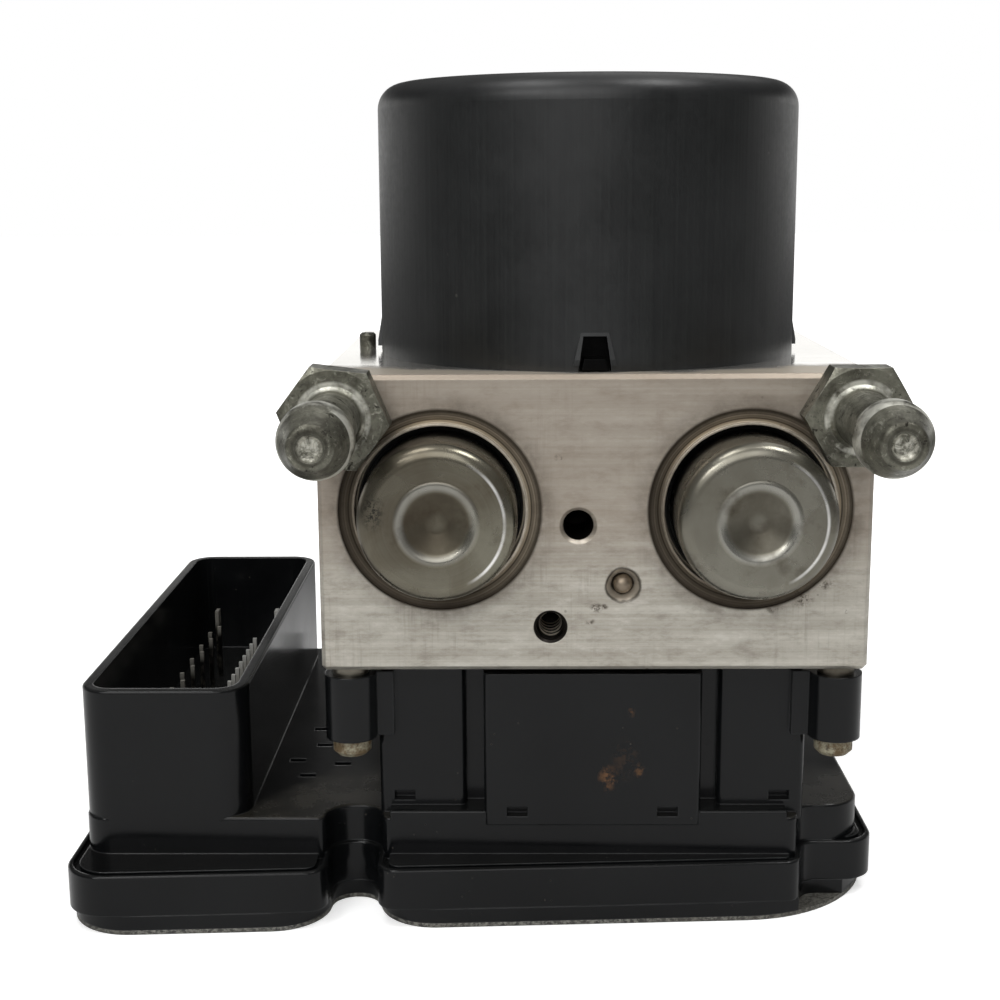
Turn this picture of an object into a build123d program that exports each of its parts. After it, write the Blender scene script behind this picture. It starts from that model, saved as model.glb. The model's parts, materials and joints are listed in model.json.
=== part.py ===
from build123d import *
import math
import os

# Brake pressure modulator: a machined valve block, its pump motor on top, and the
# electronic control unit screwed to the underside. Millimetres, +Z up. The origin is
# on the motor axis, in the flat underside of the control unit's cover.
# -Y is the front, the side with the pressure accumulators and the mounting studs.

# ---- valve block ------------------------------------------------------------------
BLOCK_WIDTH = 98.0
BLOCK_DEPTH = 88.0
BLOCK_HEIGHT = 53.4
BLOCK_CHAMFER = 0.8

# ---- control unit, levels from the underside up -------------------------------------
PLATE_THICK = 0.8
LID_THICK = 2.8
FLANGE_HEIGHT = 7.7
LOWER_BODY_HEIGHT = 7.1
LEDGE_HEIGHT = 1.4
DECK_TO_BLOCK = 29.6
HOUSING_GAP = 1.6

# ---- control unit, plan ------------------------------------------------------------
BODY_LEFT = 95.0
BODY_RIGHT = 51.3
BODY_FRONT_INSET = 3.5
BODY_BACK_REACH = 26.5
BODY_END_GAP = 6.3
BODY_CORNER = 5.0
BODY_EDGE = 0.6
FLANGE_LEFT = 97.1
FLANGE_RIGHT = 54.0
FLANGE_BACK = 2.5
FLANGE_FRONT = 3.6
FLANGE_SLOPE = 0.0537
FLANGE_CORNER = 8.0
FLANGE_EDGE = 0.5
SEAL_GROOVE_INSET = 0.9
SEAL_GROOVE_WIDTH = 1.2
SEAL_GROOVE_DEEP = 1.0
PLATE_LEFT_CORNER = 12.0
PLATE_SHOULDER = 10.5
PLATE_RIGHT_CORNER = 27.0
REAR_LUG_X = -57.0
REAR_LUG_WIDTH = 3.3
REAR_LUG_HEIGHT = 4.2
DECK_SLOTS = [(-58.8, -10.0), (-55.7, -18.5), (-56.2, 9.0), (-54.4, -1.0), (-49.4, -12.0)]
DECK_SLOT_SIZE = (3.2, 2.0, 1.5)
WALL = 2.0
BOARD_THICK = 1.6
BOARD_LEVEL = 7.6
BOARD_STEP = 2.0
BOARD_CLEARANCE = 0.4
CHIPS = [(-10.0, 0.0, 20.0, 20.0, 2.4), (18.0, 0.0, 14.0, 10.0, 2.0), (18.0, 22.0, 14.0, 10.0, 2.0),
         (-40.0, 20.0, 10.0, 10.0, 3.4)]

# ---- coil housing below the block ----------------------------------------------------
COIL_HOUSING_HALF_WIDTH = 39.5
COIL_HOUSING_INSET = 6.5
COIL_FLOOR = 22.0
PANEL_HALF_WIDTH = 20.0
PANEL_PROUD = 0.5
PANEL_BOTTOM = 17.2
PANEL_EDGE = 1.2
CHANNEL_WIDTH = 3.4
CHANNEL_DEPTH = 3.0
LATCH_WIDTH = 3.8
LATCH_HEIGHT = 1.8
LATCH_DEPTH = 2.0
CENTRE_LATCH_X = 13.9
CENTRE_LATCH_Z = 19.8
SIDE_LATCH_X = 34.9
SIDE_LATCH_Z = 21.7

# ---- connector shroud ----------------------------------------------------------------
SHROUD_WIDTH = 31.1
SHROUD_BACK_INSET = 2.5
SHROUD_EDGE = 0.5
SHROUD_TOP = 43.0
SHROUD_FLOOR = 20.0
SHROUD_FLOOR_THICK = 2.5
SHROUD_CORNER = 6.0
PIN_THICK = 0.8
PIN_TOP = 32.0
SIGNAL_PINS = 9
SIGNAL_PITCH = 4.6
SIGNAL_ROW_X = -74.2
SIGNAL_ROW_Y = -4.4
STAGGER_PINS = 10
STAGGER_PITCH = 5.2
STAGGER_ROW_X = -84.8
STAGGER = 1.2
POWER_PIN_WIDTH = 2.8
POWER_PIN_Y = 49.8
POWER_PIN_TOP = 34.0
POWER_PIN_XS = (-85.9, -71.7)

# ---- screws that hold the control unit ----------------------------------------------
BOSS_RADIUS = 4.75
BOSS_INSET = 4.7
BOSS_BOTTOM = 34.2
BUSH_RADIUS = 3.3
SCREW_RADIUS = 2.5
SCREW_CLEARANCE = 0.1
SCREW_HEAD_RADIUS = 3.5
SCREW_HEAD_HEIGHT = 3.3
SCREW_IN_BLOCK = 10.0
DRIVER_RADIUS = 4.6
NOTCH_RADIUS = 5.3
SHOULDER_RADIUS = 4.0

# ---- pump motor ------------------------------------------------------------------------
CAN_DIAMETER = 81.2
CAN_HEIGHT = 51.4
CAN_WALL = 2.0
CAN_EDGE = 4.8
DOME_RADIUS = 11.5
DOME_GROOVE_RADIUS = 25.0
DOME_GROOVE_DEPTH = 4.0
END_PLATE_THICK = 6.0
SPIGOT_DEPTH = 5.0
CHAMBER_RADIUS = 13.2
CHAMBER_DEPTH = 35.4
SHAFT_RADIUS = 4.0
SHAFT_CLEARANCE = 0.05
BEARING_RADIUS = 9.0
BEARING_WIDTH = 5.0
CORE_RADIUS = 32.0
CORE_BOTTOM = 19.0
CORE_TO_CAN_TOP = 11.4
CORE_SLOTS = 12
SLOT_WIDTH = 5.0
SLOT_DEPTH = 12.0
END_TURN = 2.4
AIR_GAP = 0.6
MAGNETS = 4
MAGNET_ARC = 72.0
MAGNET_BOTTOM = 14.0
MAGNET_TO_CAN_TOP = 7.4
BRUSH_CARD_THICK = 2.0
COMMUTATOR_RADIUS = 11.0
COMMUTATOR_BARS = 12
BRUSH_GAP = 0.3
BRUSH_LENGTH = 9.0
BRUSH_WIDTH = 6.0
BRUSH_HEIGHT = 6.0
BRUSH_GUIDE_WALL = 2.0
WINDOW_HEIGHT = 6.3
WINDOW_WIDTH = 5.9
WINDOW_TAPER = 0.9
WINDOW_DEPTH = 3.0
FLARE_BOTTOM = 1.2
FLARE_TOP = 6.9
FLARE_WIDTH = 7.6
FLARE_PROUD = 0.8
TONGUE_WIDTH = 4.7
TONGUE_BOTTOM = 0.3
TONGUE_TOP = 2.3
TERMINAL_Y = 31.0
TERMINAL_RADIUS = 0.6
TERMINAL_SPACING = 2.6
TERMINAL_GUIDE_RADIUS = 2.9

# ---- pump --------------------------------------------------------------------------------
PUMP_HEIGHT = 80.0
ECCENTRICITY = 1.2
ECCENTRIC_RADIUS = 6.5
RING_RADIUS = 9.0
RING_WIDTH = 10.0
COLLAR_RADIUS = 7.6
COLLAR_THICK = 1.5
PUMP_RUNNING_GAP = 0.3
PUMP_PISTON_RADIUS = 4.0
PISTON_CLEARANCE = 0.05
PUMP_HEAD_RADIUS = 6.5
PUMP_HEAD_THICK = 2.0
PUMP_STEP_X = 27.0
PUMP_HEAD_X = 28.6
PUMP_PLUG_RADIUS = 8.0
PUMP_PLUG_LENGTH = 11.0

# ---- pressure accumulators -------------------------------------------------------------
ACCUMULATOR_X = 27.4
ACCUMULATOR_HEIGHT = 29.3
CAP_RADIUS = 13.8
CAP_PROUD = 11.6
CAP_WALL = 1.2
CAP_EDGE = 2.6
CAP_SEAT_DEPTH = 6.0
CAP_SEAT_CLEARANCE = 0.5
CAP_RIM_THICK = 1.2
CAP_DISH_RADIUS = 6.8
CAP_DISH_DEPTH = 1.5
CAP_DISH_FLOOR = 1.9
STAKED_GAP = 1.3
STAKED_GAP_DEPTH = 3.6
STAKED_LIP_WIDTH = 0.45
STAKED_LIP_DEPTH = 0.4
STAKED_RING_RADIUS = 17.9
STAKED_RING_STEP = 0.3
STAKED_RING_DEPTH = 1.4
ACCUMULATOR_BORE_RADIUS = 12.6
ACCUMULATOR_BORE_DEPTH = 24.0
ACCUMULATOR_CLEARANCE = 0.06
PISTON_LENGTH = 8.6
PISTON_FLOOR = 2.6
PISTON_WALL = 2.4
SEAL_WIDTH = 2.0
SEAL_GROOVE = 1.4

# ---- springs ------------------------------------------------------------------------------
SPRING_SIDES = 10
SPRING_END_GAP = 0.2
ACCUMULATOR_SPRING_RADIUS = 8.8
ACCUMULATOR_SPRING_WIRE = 1.6
ACCUMULATOR_SPRING_TURNS = 6
PUMP_SPRING_RADIUS = 5.0
PUMP_SPRING_WIRE = 1.0
PUMP_SPRING_TURNS = 4

# ---- solenoid valves ----------------------------------------------------------------------
VALVE_COLUMNS = 4
VALVE_ROWS = 3
VALVE_RADIUS = 5.95
VALVE_POCKET_CLEARANCE = 0.05
VALVE_POCKET_DEPTH = 12.5
VALVE_DOME_RADIUS = 3.1
VALVE_DOME_LENGTH = 20.0
COIL_WALL_GAP = 0.7
COIL_GAP = 0.8
COIL_ROW_GAP = 2.2
COIL_BORE_CLEARANCE = 0.2
COIL_HEIGHT = 22.0

# ---- mounting studs and small features of the block -------------------------------------
STUD_X = 45.2
STUD_HEIGHT = 46.5
STUD_HEX_FLATS = 17.0
STUD_HEX_THICK = 6.0
STUD_NECK_RADIUS = 4.8
STUD_NECK_FILLET = 0.9
STUD_HEAD_RADIUS = 6.2
STUD_HEAD_START = 24.0
STUD_HEAD_BAND = (27.2, 30.2)
STUD_TIP = 36.5
STUD_TIP_RADIUS = 3.6
STUD_RECESS_RADIUS = 2.3
STUD_RECESS_DEPTH = 0.9
STUD_THREAD_RADIUS = 3.0
STUD_THREAD_LENGTH = 18.0
STUD_TURN = {-1: -7.0, 1: 0.0}
TAPPED_HOLE = (-7.8, 8.1)
TAPPED_HOLE_RADIUS = 2.55
TAPPED_HOLE_MOUTH = 3.1
TAPPED_HOLE_DEPTH = 12.0
VENT_HOLE = (-2.9, 26.6)
VENT_HOLE_RADIUS = 2.7
VENT_HOLE_MOUTH = 3.35
VENT_HOLE_DEPTH = 14.0
BALL_PLUG = (5.1, 15.7)
BALL_RADIUS = 1.8
BALL_SEAT_RADIUS = 3.15
BALL_HOLE_DEPTH = 8.0
TOP_PIN = (-44.1, 5.0)
TOP_PIN_RADIUS = 1.65
TOP_PIN_HEIGHT = 3.0
TOP_PIN_DEPTH = 5.0
OUTLET_PORT_XS = (-36.0, -12.0, 12.0, 36.0)
OUTLET_PORT_HEIGHT = 41.0
OUTLET_PORT_RADIUS = 4.55
INLET_PORT_XS = (-24.0, 24.0)
INLET_PORT_HEIGHT = 20.0
INLET_PORT_RADIUS = 5.55
PORT_DEPTH = 13.0
PORT_SEAT = 2.0
PORT_SPOTFACE = 1.8
PORT_SPOTFACE_DEPTH = 0.6

# ---- derived levels and faces ------------------------------------------------------------
COVER_TOP = PLATE_THICK + LID_THICK
FLANGE_TOP = COVER_TOP + FLANGE_HEIGHT
DECK_TOP = FLANGE_TOP + LOWER_BODY_HEIGHT
LEDGE_TOP = DECK_TOP + LEDGE_HEIGHT
BLOCK_BOTTOM = DECK_TOP + DECK_TO_BLOCK
BLOCK_TOP = BLOCK_BOTTOM + BLOCK_HEIGHT
HOUSING_TOP = BLOCK_BOTTOM - HOUSING_GAP
BLOCK_SIDE = BLOCK_WIDTH / 2
BLOCK_FRONT = -BLOCK_DEPTH / 2
BLOCK_BACK = BLOCK_DEPTH / 2
CAN_RADIUS = CAN_DIAMETER / 2
CAN_BORE = CAN_RADIUS - CAN_WALL
BOSS_X = BLOCK_SIDE - BOSS_INSET
BOSS_Y = BLOCK_BACK - BOSS_INSET
BODY_FRONT = BLOCK_BACK - BODY_FRONT_INSET
BODY_BACK = BLOCK_BACK + BODY_BACK_REACH
BODY_FRONT_END = BOSS_X - BODY_END_GAP
SHROUD_BACK = BODY_BACK - SHROUD_BACK_INSET
COIL_HOUSING_FRONT = BLOCK_BACK - COIL_HOUSING_INSET
COIL_HOUSING_BACK = BLOCK_BACK - COIL_HOUSING_INSET
COIL_ROW_ROOM = COIL_HOUSING_HALF_WIDTH - WALL - COIL_WALL_GAP
COIL_RADIUS = (COIL_ROW_ROOM - COIL_GAP * (VALVE_COLUMNS - 1) / 2) / VALVE_COLUMNS
VALVE_PITCH_X = 2 * COIL_RADIUS + COIL_GAP
VALVE_PITCH_Y = 2 * COIL_RADIUS + COIL_ROW_GAP
VALVE_CENTRE_Y = CHANNEL_DEPTH / 2
CORE_TOP = CAN_HEIGHT - CORE_TO_CAN_TOP
MAGNET_TOP = CAN_HEIGHT - MAGNET_TO_CAN_TOP
SHROUD_RIGHT = SHROUD_WIDTH - BODY_LEFT
CAP_SEAT_RADIUS = CAP_RADIUS + CAP_SEAT_CLEARANCE
BOARD_TOP = BOARD_LEVEL + BOARD_THICK
SIDES = {"left": -1, "right": 1}


# ---- small construction helpers ---------------------------------------------------------
def between(low, high):
    """A box between two opposite corners."""
    size = [b - a for a, b in zip(low, high)]
    return Pos(*low) * Box(*size, align=(Align.MIN, Align.MIN, Align.MIN))


def upright(radius, low, high, x=0.0, y=0.0):
    """A cylinder standing between two levels."""
    return Pos(x, y, low) * Cylinder(radius, high - low, align=(Align.CENTER, Align.CENTER, Align.MIN))


def turned(points, radii=0.0):
    """A turned solid about Z from its half profile, given as (radius, height) points."""
    if radii:
        outline = FilletPolyline(*points, radius=radii, close=True)
    else:
        outline = Polyline(*points, close=True)
    return revolve(Plane.XZ * make_face(outline), Axis.Z)


def on_front(shape, x, height):
    """Sets a shape on the block's front face, its own Z pointing out of the face."""
    return Pos(x, BLOCK_FRONT, BLOCK_BOTTOM + height) * Rot(90, 0, 0) * shape


def on_back(shape, x, height):
    """Sets a shape on the block's back face, its own Z pointing out of the face."""
    return Pos(x, BLOCK_BACK, BLOCK_BOTTOM + height) * Rot(-90, 0, 0) * shape


def sideways(shape, side, height):
    """Lays a shape along X from the motor axis, towards one side."""
    return Pos(0, 0, height) * Rot(0, 90 * side, 0) * shape


def coil_spring(radius, wire, length, turns):
    """A compression spring of square wire, wound in straight facets, standing on Z = 0."""
    steps = turns * SPRING_SIDES
    points = []
    for step in range(steps + 1):
        angle = 2 * math.pi * step / SPRING_SIDES
        height = wire / 2 + (length - wire) * step / steps
        points.append((radius * math.cos(angle), radius * math.sin(angle), height))
    path = Polyline(*points)
    section = Plane(origin=path @ 0, x_dir=(1, 0, 0), z_dir=path % 0) * Rectangle(wire, wire)
    return sweep(section, path=path, transition=Transition.RIGHT)


def valve_places():
    """Plan positions of the solenoid valves."""
    half_x = (VALVE_COLUMNS - 1) / 2
    half_y = (VALVE_ROWS - 1) / 2
    for column in range(VALVE_COLUMNS):
        for row in range(VALVE_ROWS):
            x = (column - half_x) * VALVE_PITCH_X
            y = VALVE_CENTRE_Y + (row - half_y) * VALVE_PITCH_Y
            yield x, y


def boss_places():
    """Plan positions of the four screws that hold the control unit."""
    for side in SIDES.values():
        for end in (-1, 1):
            yield side * BOSS_X, end * BOSS_Y


# ---- valve block ------------------------------------------------------------------------
def accumulator_bore():
    """Stepped bore, cap seat and the ring left by staking the cap in."""
    lip_inner = CAP_RADIUS + STAKED_GAP
    lip_outer = lip_inner + STAKED_LIP_WIDTH
    return turned([
        (0, 1),
        (STAKED_RING_RADIUS, 1),
        (STAKED_RING_RADIUS, -STAKED_RING_STEP),
        (lip_outer, -STAKED_RING_DEPTH),
        (lip_outer, -STAKED_LIP_DEPTH),
        (lip_inner, -STAKED_LIP_DEPTH),
        (lip_inner, -STAKED_GAP_DEPTH),
        (CAP_SEAT_RADIUS, -STAKED_GAP_DEPTH),
        (CAP_SEAT_RADIUS, -CAP_SEAT_DEPTH),
        (ACCUMULATOR_BORE_RADIUS, -CAP_SEAT_DEPTH),
        (ACCUMULATOR_BORE_RADIUS, -ACCUMULATOR_BORE_DEPTH),
        (0, -ACCUMULATOR_BORE_DEPTH),
    ])


def mouthed_hole(radius, mouth, depth):
    """A blind drilled hole with a countersunk mouth and a conical bottom."""
    return turned([
        (0, 1),
        (mouth + 1, 1),
        (mouth, 0),
        (radius, radius - mouth),
        (radius, -depth),
        (0, -depth - radius / 2),
    ])


def line_port(radius):
    """A brake line port: spot face, thread bore and the cone that seats the flare."""
    mouth = radius + PORT_SPOTFACE
    return turned([
        (0, 1),
        (mouth, 1),
        (mouth, -PORT_SPOTFACE_DEPTH),
        (radius, -PORT_SPOTFACE_DEPTH),
        (radius, -PORT_DEPTH),
        (0, -PORT_DEPTH - PORT_SEAT),
    ])


def ball_seat():
    """Conical mouth and hole of the pressed ball plug."""
    return turned([
        (0, 1),
        (BALL_SEAT_RADIUS, 1),
        (BALL_SEAT_RADIUS, 0),
        (BALL_RADIUS, -BALL_RADIUS),
        (BALL_RADIUS, -BALL_HOLE_DEPTH),
        (0, -BALL_HOLE_DEPTH),
    ])


def valve_block():
    """Machined aluminium block with all its bores."""
    block = between((-BLOCK_SIDE, BLOCK_FRONT, BLOCK_BOTTOM), (BLOCK_SIDE, BLOCK_BACK, BLOCK_TOP))
    block = chamfer(block.edges(), BLOCK_CHAMFER)
    cuts = [upright(CHAMBER_RADIUS, BLOCK_TOP - CHAMBER_DEPTH, BLOCK_TOP + 1)]
    for side in SIDES.values():
        cuts.append(on_front(accumulator_bore(), side * ACCUMULATOR_X, ACCUMULATOR_HEIGHT))
        stud_hole = upright(STUD_THREAD_RADIUS, -STUD_THREAD_LENGTH, 1)
        cuts.append(on_front(stud_hole, side * STUD_X, STUD_HEIGHT))
        piston_bore = upright(PUMP_PISTON_RADIUS + PISTON_CLEARANCE, SHAFT_RADIUS, BLOCK_SIDE)
        plug_bore = upright(PUMP_PLUG_RADIUS, PUMP_STEP_X, BLOCK_SIDE + 1)
        cuts.append(sideways(piston_bore + plug_bore, side, PUMP_HEIGHT))
    cuts.append(on_front(mouthed_hole(TAPPED_HOLE_RADIUS, TAPPED_HOLE_MOUTH, TAPPED_HOLE_DEPTH), *TAPPED_HOLE))
    cuts.append(on_front(mouthed_hole(VENT_HOLE_RADIUS, VENT_HOLE_MOUTH, VENT_HOLE_DEPTH), *VENT_HOLE))
    cuts.append(on_front(ball_seat(), *BALL_PLUG))
    cuts.append(upright(TOP_PIN_RADIUS, BLOCK_TOP - TOP_PIN_DEPTH, BLOCK_TOP + 1, *TOP_PIN))
    cuts.append(upright(TERMINAL_GUIDE_RADIUS, BLOCK_BOTTOM - 1, BLOCK_TOP + 1, 0, TERMINAL_Y))
    for x in OUTLET_PORT_XS:
        cuts.append(on_back(line_port(OUTLET_PORT_RADIUS), x, OUTLET_PORT_HEIGHT))
    for x in INLET_PORT_XS:
        cuts.append(on_back(line_port(INLET_PORT_RADIUS), x, INLET_PORT_HEIGHT))
    pocket = VALVE_RADIUS + VALVE_POCKET_CLEARANCE
    for x, y in valve_places():
        cuts.append(upright(pocket, BLOCK_BOTTOM - 1, BLOCK_BOTTOM + VALVE_POCKET_DEPTH, x, y))
    for x, y in boss_places():
        cuts.append(upright(SCREW_RADIUS, BLOCK_BOTTOM - 1, BLOCK_BOTTOM + SCREW_IN_BLOCK, x, y))
    return block - cuts


def mounting_stud(side):
    """Screwed-in stud: thread, hexagon, neck and the rounded head that carries the unit."""
    circumradius = STUD_HEX_FLATS / math.sqrt(3)
    corner_bevel = circumradius - STUD_HEX_FLATS / 2
    hexagon = extrude(RegularPolygon(circumradius, 6, rotation=STUD_TURN[side]), STUD_HEX_THICK)
    hexagon &= turned([
        (0, 0),
        (circumradius, 0),
        (circumradius, STUD_HEX_THICK - corner_bevel / 2),
        (circumradius - corner_bevel, STUD_HEX_THICK),
        (0, STUD_HEX_THICK),
    ])
    band_low, band_high = STUD_HEAD_BAND
    recess_floor = STUD_TIP - STUD_RECESS_DEPTH
    profile = [
        (0, 0),
        (STUD_NECK_RADIUS + STUD_NECK_FILLET, 0),
        (STUD_NECK_RADIUS + STUD_NECK_FILLET, STUD_HEX_THICK),
        (STUD_NECK_RADIUS, STUD_HEX_THICK + STUD_NECK_FILLET),
        (STUD_NECK_RADIUS, STUD_HEAD_START),
        (STUD_HEAD_RADIUS, band_low),
        (STUD_HEAD_RADIUS, band_high),
        (STUD_TIP_RADIUS, STUD_TIP),
        (STUD_RECESS_RADIUS, STUD_TIP),
        (STUD_RECESS_RADIUS - STUD_RECESS_DEPTH, recess_floor),
        (0, recess_floor),
    ]
    radii = [0, 0, 0, 1.2, 2, 1, 4, 0.8, 0, 0, 0]
    pin = turned(profile, radii)
    thread = upright(STUD_THREAD_RADIUS, -STUD_THREAD_LENGTH, 0)
    return on_front(hexagon + pin + thread, side * STUD_X, STUD_HEIGHT)


def ball_plug():
    """Steel ball pressed into its hole."""
    return on_front(Pos(0, 0, -BALL_RADIUS) * Sphere(BALL_RADIUS), *BALL_PLUG)


def locating_pin():
    """Short pin pressed into the block's top face beside the motor."""
    foot = BLOCK_TOP - TOP_PIN_DEPTH
    height = TOP_PIN_DEPTH + TOP_PIN_HEIGHT
    edge = TOP_PIN_RADIUS / 4
    pin = turned([
        (0, 0),
        (TOP_PIN_RADIUS, 0),
        (TOP_PIN_RADIUS, height - edge),
        (TOP_PIN_RADIUS - edge, height),
        (0, height),
    ])
    return Pos(*TOP_PIN, foot) * pin


# ---- pressure accumulators --------------------------------------------------------------
def accumulator_cap(side):
    """Pressed steel cap with a rim on the bore's step and a dished centre."""
    rim_top = CAP_RIM_THICK - CAP_SEAT_DEPTH
    inside = CAP_PROUD - CAP_WALL
    profile = [
        (CAP_RADIUS - CAP_WALL, -CAP_SEAT_DEPTH),
        (CAP_SEAT_RADIUS, -CAP_SEAT_DEPTH),
        (CAP_SEAT_RADIUS, rim_top),
        (CAP_RADIUS, rim_top),
        (CAP_RADIUS, CAP_PROUD),
        (CAP_DISH_RADIUS, CAP_PROUD),
        (CAP_DISH_FLOOR, CAP_PROUD - CAP_DISH_DEPTH),
        (0, CAP_PROUD - CAP_DISH_DEPTH),
        (0, inside - CAP_DISH_DEPTH),
        (CAP_DISH_FLOOR, inside - CAP_DISH_DEPTH),
        (CAP_DISH_RADIUS, inside),
        (CAP_RADIUS - CAP_EDGE, inside),
        (CAP_RADIUS - CAP_WALL, inside - CAP_EDGE + CAP_WALL),
    ]
    radii = [0, 0, 0, 0, CAP_EDGE, 2.2, 1.8] + [0] * 6
    return on_front(turned(profile, radii), side * ACCUMULATOR_X, ACCUMULATOR_HEIGHT)


def accumulator_piston(side):
    """Cup piston with a seal groove, resting at the bottom of its bore."""
    radius = ACCUMULATOR_BORE_RADIUS - ACCUMULATOR_CLEARANCE
    foot = -ACCUMULATOR_BORE_DEPTH
    top = foot + PISTON_LENGTH
    groove_low = foot + (PISTON_LENGTH - SEAL_WIDTH) / 2
    profile = [
        (0, foot),
        (radius, foot),
        (radius, groove_low),
        (radius - SEAL_GROOVE, groove_low),
        (radius - SEAL_GROOVE, groove_low + SEAL_WIDTH),
        (radius, groove_low + SEAL_WIDTH),
        (radius, top),
        (radius - PISTON_WALL, top),
        (radius - PISTON_WALL, foot + PISTON_FLOOR),
        (0, foot + PISTON_FLOOR),
    ]
    return on_front(turned(profile), side * ACCUMULATOR_X, ACCUMULATOR_HEIGHT)


def accumulator_seal(side):
    """Square seal ring in the piston's groove."""
    radius = ACCUMULATOR_BORE_RADIUS - ACCUMULATOR_CLEARANCE
    low = -ACCUMULATOR_BORE_DEPTH + (PISTON_LENGTH - SEAL_WIDTH) / 2
    ring = upright(radius, low, low + SEAL_WIDTH) - upright(radius - SEAL_GROOVE, low, low + SEAL_WIDTH)
    return on_front(ring, side * ACCUMULATOR_X, ACCUMULATOR_HEIGHT)


def accumulator_spring(side):
    """Spring between the cap's inside and the piston's floor."""
    foot = -ACCUMULATOR_BORE_DEPTH + PISTON_FLOOR + SPRING_END_GAP
    length = CAP_PROUD - CAP_WALL - SPRING_END_GAP - foot
    spring = coil_spring(ACCUMULATOR_SPRING_RADIUS, ACCUMULATOR_SPRING_WIRE, length, ACCUMULATOR_SPRING_TURNS)
    return on_front(Pos(0, 0, foot) * spring, side * ACCUMULATOR_X, ACCUMULATOR_HEIGHT)


# ---- pump ----------------------------------------------------------------------------------
def pump_piston(side):
    """Piston at its outermost point, with the head that carries its return spring."""
    inner = RING_RADIUS + ECCENTRICITY + PUMP_RUNNING_GAP
    rod = upright(PUMP_PISTON_RADIUS, inner, PUMP_HEAD_X)
    head = upright(PUMP_HEAD_RADIUS, PUMP_HEAD_X, PUMP_HEAD_X + PUMP_HEAD_THICK)
    return sideways(rod + head, side, PUMP_HEIGHT)


def pump_spring(side):
    """Return spring between the piston's head and the plug."""
    low = PUMP_HEAD_X + PUMP_HEAD_THICK + SPRING_END_GAP
    length = BLOCK_SIDE - PUMP_PLUG_LENGTH - SPRING_END_GAP - low
    spring = coil_spring(PUMP_SPRING_RADIUS, PUMP_SPRING_WIRE, length, PUMP_SPRING_TURNS)
    return sideways(Pos(0, 0, low) * spring, side, PUMP_HEIGHT)


def pump_plug(side):
    """Plug that closes the pump bore, with a hexagon socket."""
    edge = BLOCK_CHAMFER
    profile = [
        (0, BLOCK_SIDE - PUMP_PLUG_LENGTH),
        (PUMP_PLUG_RADIUS, BLOCK_SIDE - PUMP_PLUG_LENGTH),
        (PUMP_PLUG_RADIUS, BLOCK_SIDE - edge),
        (PUMP_PLUG_RADIUS - edge, BLOCK_SIDE),
        (0, BLOCK_SIDE),
    ]
    socket = Pos(0, 0, BLOCK_SIDE) * extrude(RegularPolygon(PUMP_PLUG_RADIUS / 2, 6), -PUMP_PLUG_RADIUS / 2)
    return sideways(turned(profile) - socket, side, PUMP_HEIGHT)


# ---- pump motor, built up from the block's top face ---------------------------------------
def trapezoid(low_width, high_width, low, high):
    """Trapezoid in the front plane, centred on the motor axis."""
    half_low = low_width / 2
    half_high = high_width / 2
    return Polyline((-half_low, low), (half_low, low), (half_high, high), (-half_high, high), close=True)


def at_windows(shape):
    """The same shape at the four windows of the can."""
    return [Rot(0, 0, 90 * quarter) * shape for quarter in range(4)]


def skirt_prism(outline, inner, outer):
    """A prism through the front of the skirt between two distances from the axis."""
    face = Plane.XZ * make_face(outline)
    return Pos(0, -inner, 0) * extrude(face, outer - inner)


def window_opening(inner):
    """Prism that cuts one window, from inside the skirt outwards."""
    outline = trapezoid(WINDOW_WIDTH, WINDOW_WIDTH - 2 * WINDOW_TAPER, 0, WINDOW_HEIGHT)
    return skirt_prism(outline, inner, CAN_RADIUS + FLARE_PROUD + 1)


def window_flare():
    """Skirt metal pushed outwards round one window, running out towards the top."""
    outline = trapezoid(FLARE_WIDTH, FLARE_WIDTH - 3 * WINDOW_TAPER, FLARE_BOTTOM, FLARE_TOP)
    prism = skirt_prism(outline, CAN_RADIUS - CAN_WALL / 2, CAN_RADIUS + FLARE_PROUD + 1)
    cone = turned([
        (0, 0),
        (CAN_RADIUS + FLARE_PROUD, 0),
        (CAN_RADIUS + FLARE_PROUD, FLARE_BOTTOM + 1),
        (CAN_RADIUS, FLARE_TOP),
        (0, FLARE_TOP),
    ])
    return prism & cone


def motor_can():
    """Deep drawn steel can with a bearing dome and four flared windows in its skirt."""
    groove_floor = CAN_HEIGHT - DOME_GROOVE_DEPTH
    inside = CAN_HEIGHT - CAN_WALL
    bearing_seat = BEARING_RADIUS + SHAFT_CLEARANCE
    slope = DOME_GROOVE_DEPTH / 3
    inner_edge = (CAN_EDGE - CAN_WALL) / 2
    profile = [
        (CAN_RADIUS, 0),
        (CAN_RADIUS, CAN_HEIGHT),
        (DOME_GROOVE_RADIUS, CAN_HEIGHT),
        (DOME_GROOVE_RADIUS - slope, groove_floor),
        (DOME_RADIUS + slope, groove_floor),
        (DOME_RADIUS, CAN_HEIGHT),
        (0, CAN_HEIGHT),
        (0, inside),
        (bearing_seat, inside),
        (bearing_seat, groove_floor - CAN_WALL),
        (DOME_GROOVE_RADIUS + CAN_WALL - slope, groove_floor - CAN_WALL),
        (DOME_GROOVE_RADIUS + CAN_WALL, inside),
        (CAN_BORE - inner_edge, inside),
        (CAN_BORE, inside - inner_edge),
        (CAN_BORE, 0),
    ]
    radii = [0, CAN_EDGE, 1, 1, 1, 1] + [0] * 9
    can = turned(profile, radii) + at_windows(window_flare())
    can = can - at_windows(window_opening(CAN_BORE - WINDOW_DEPTH))
    return Pos(0, 0, BLOCK_TOP) * can


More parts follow.
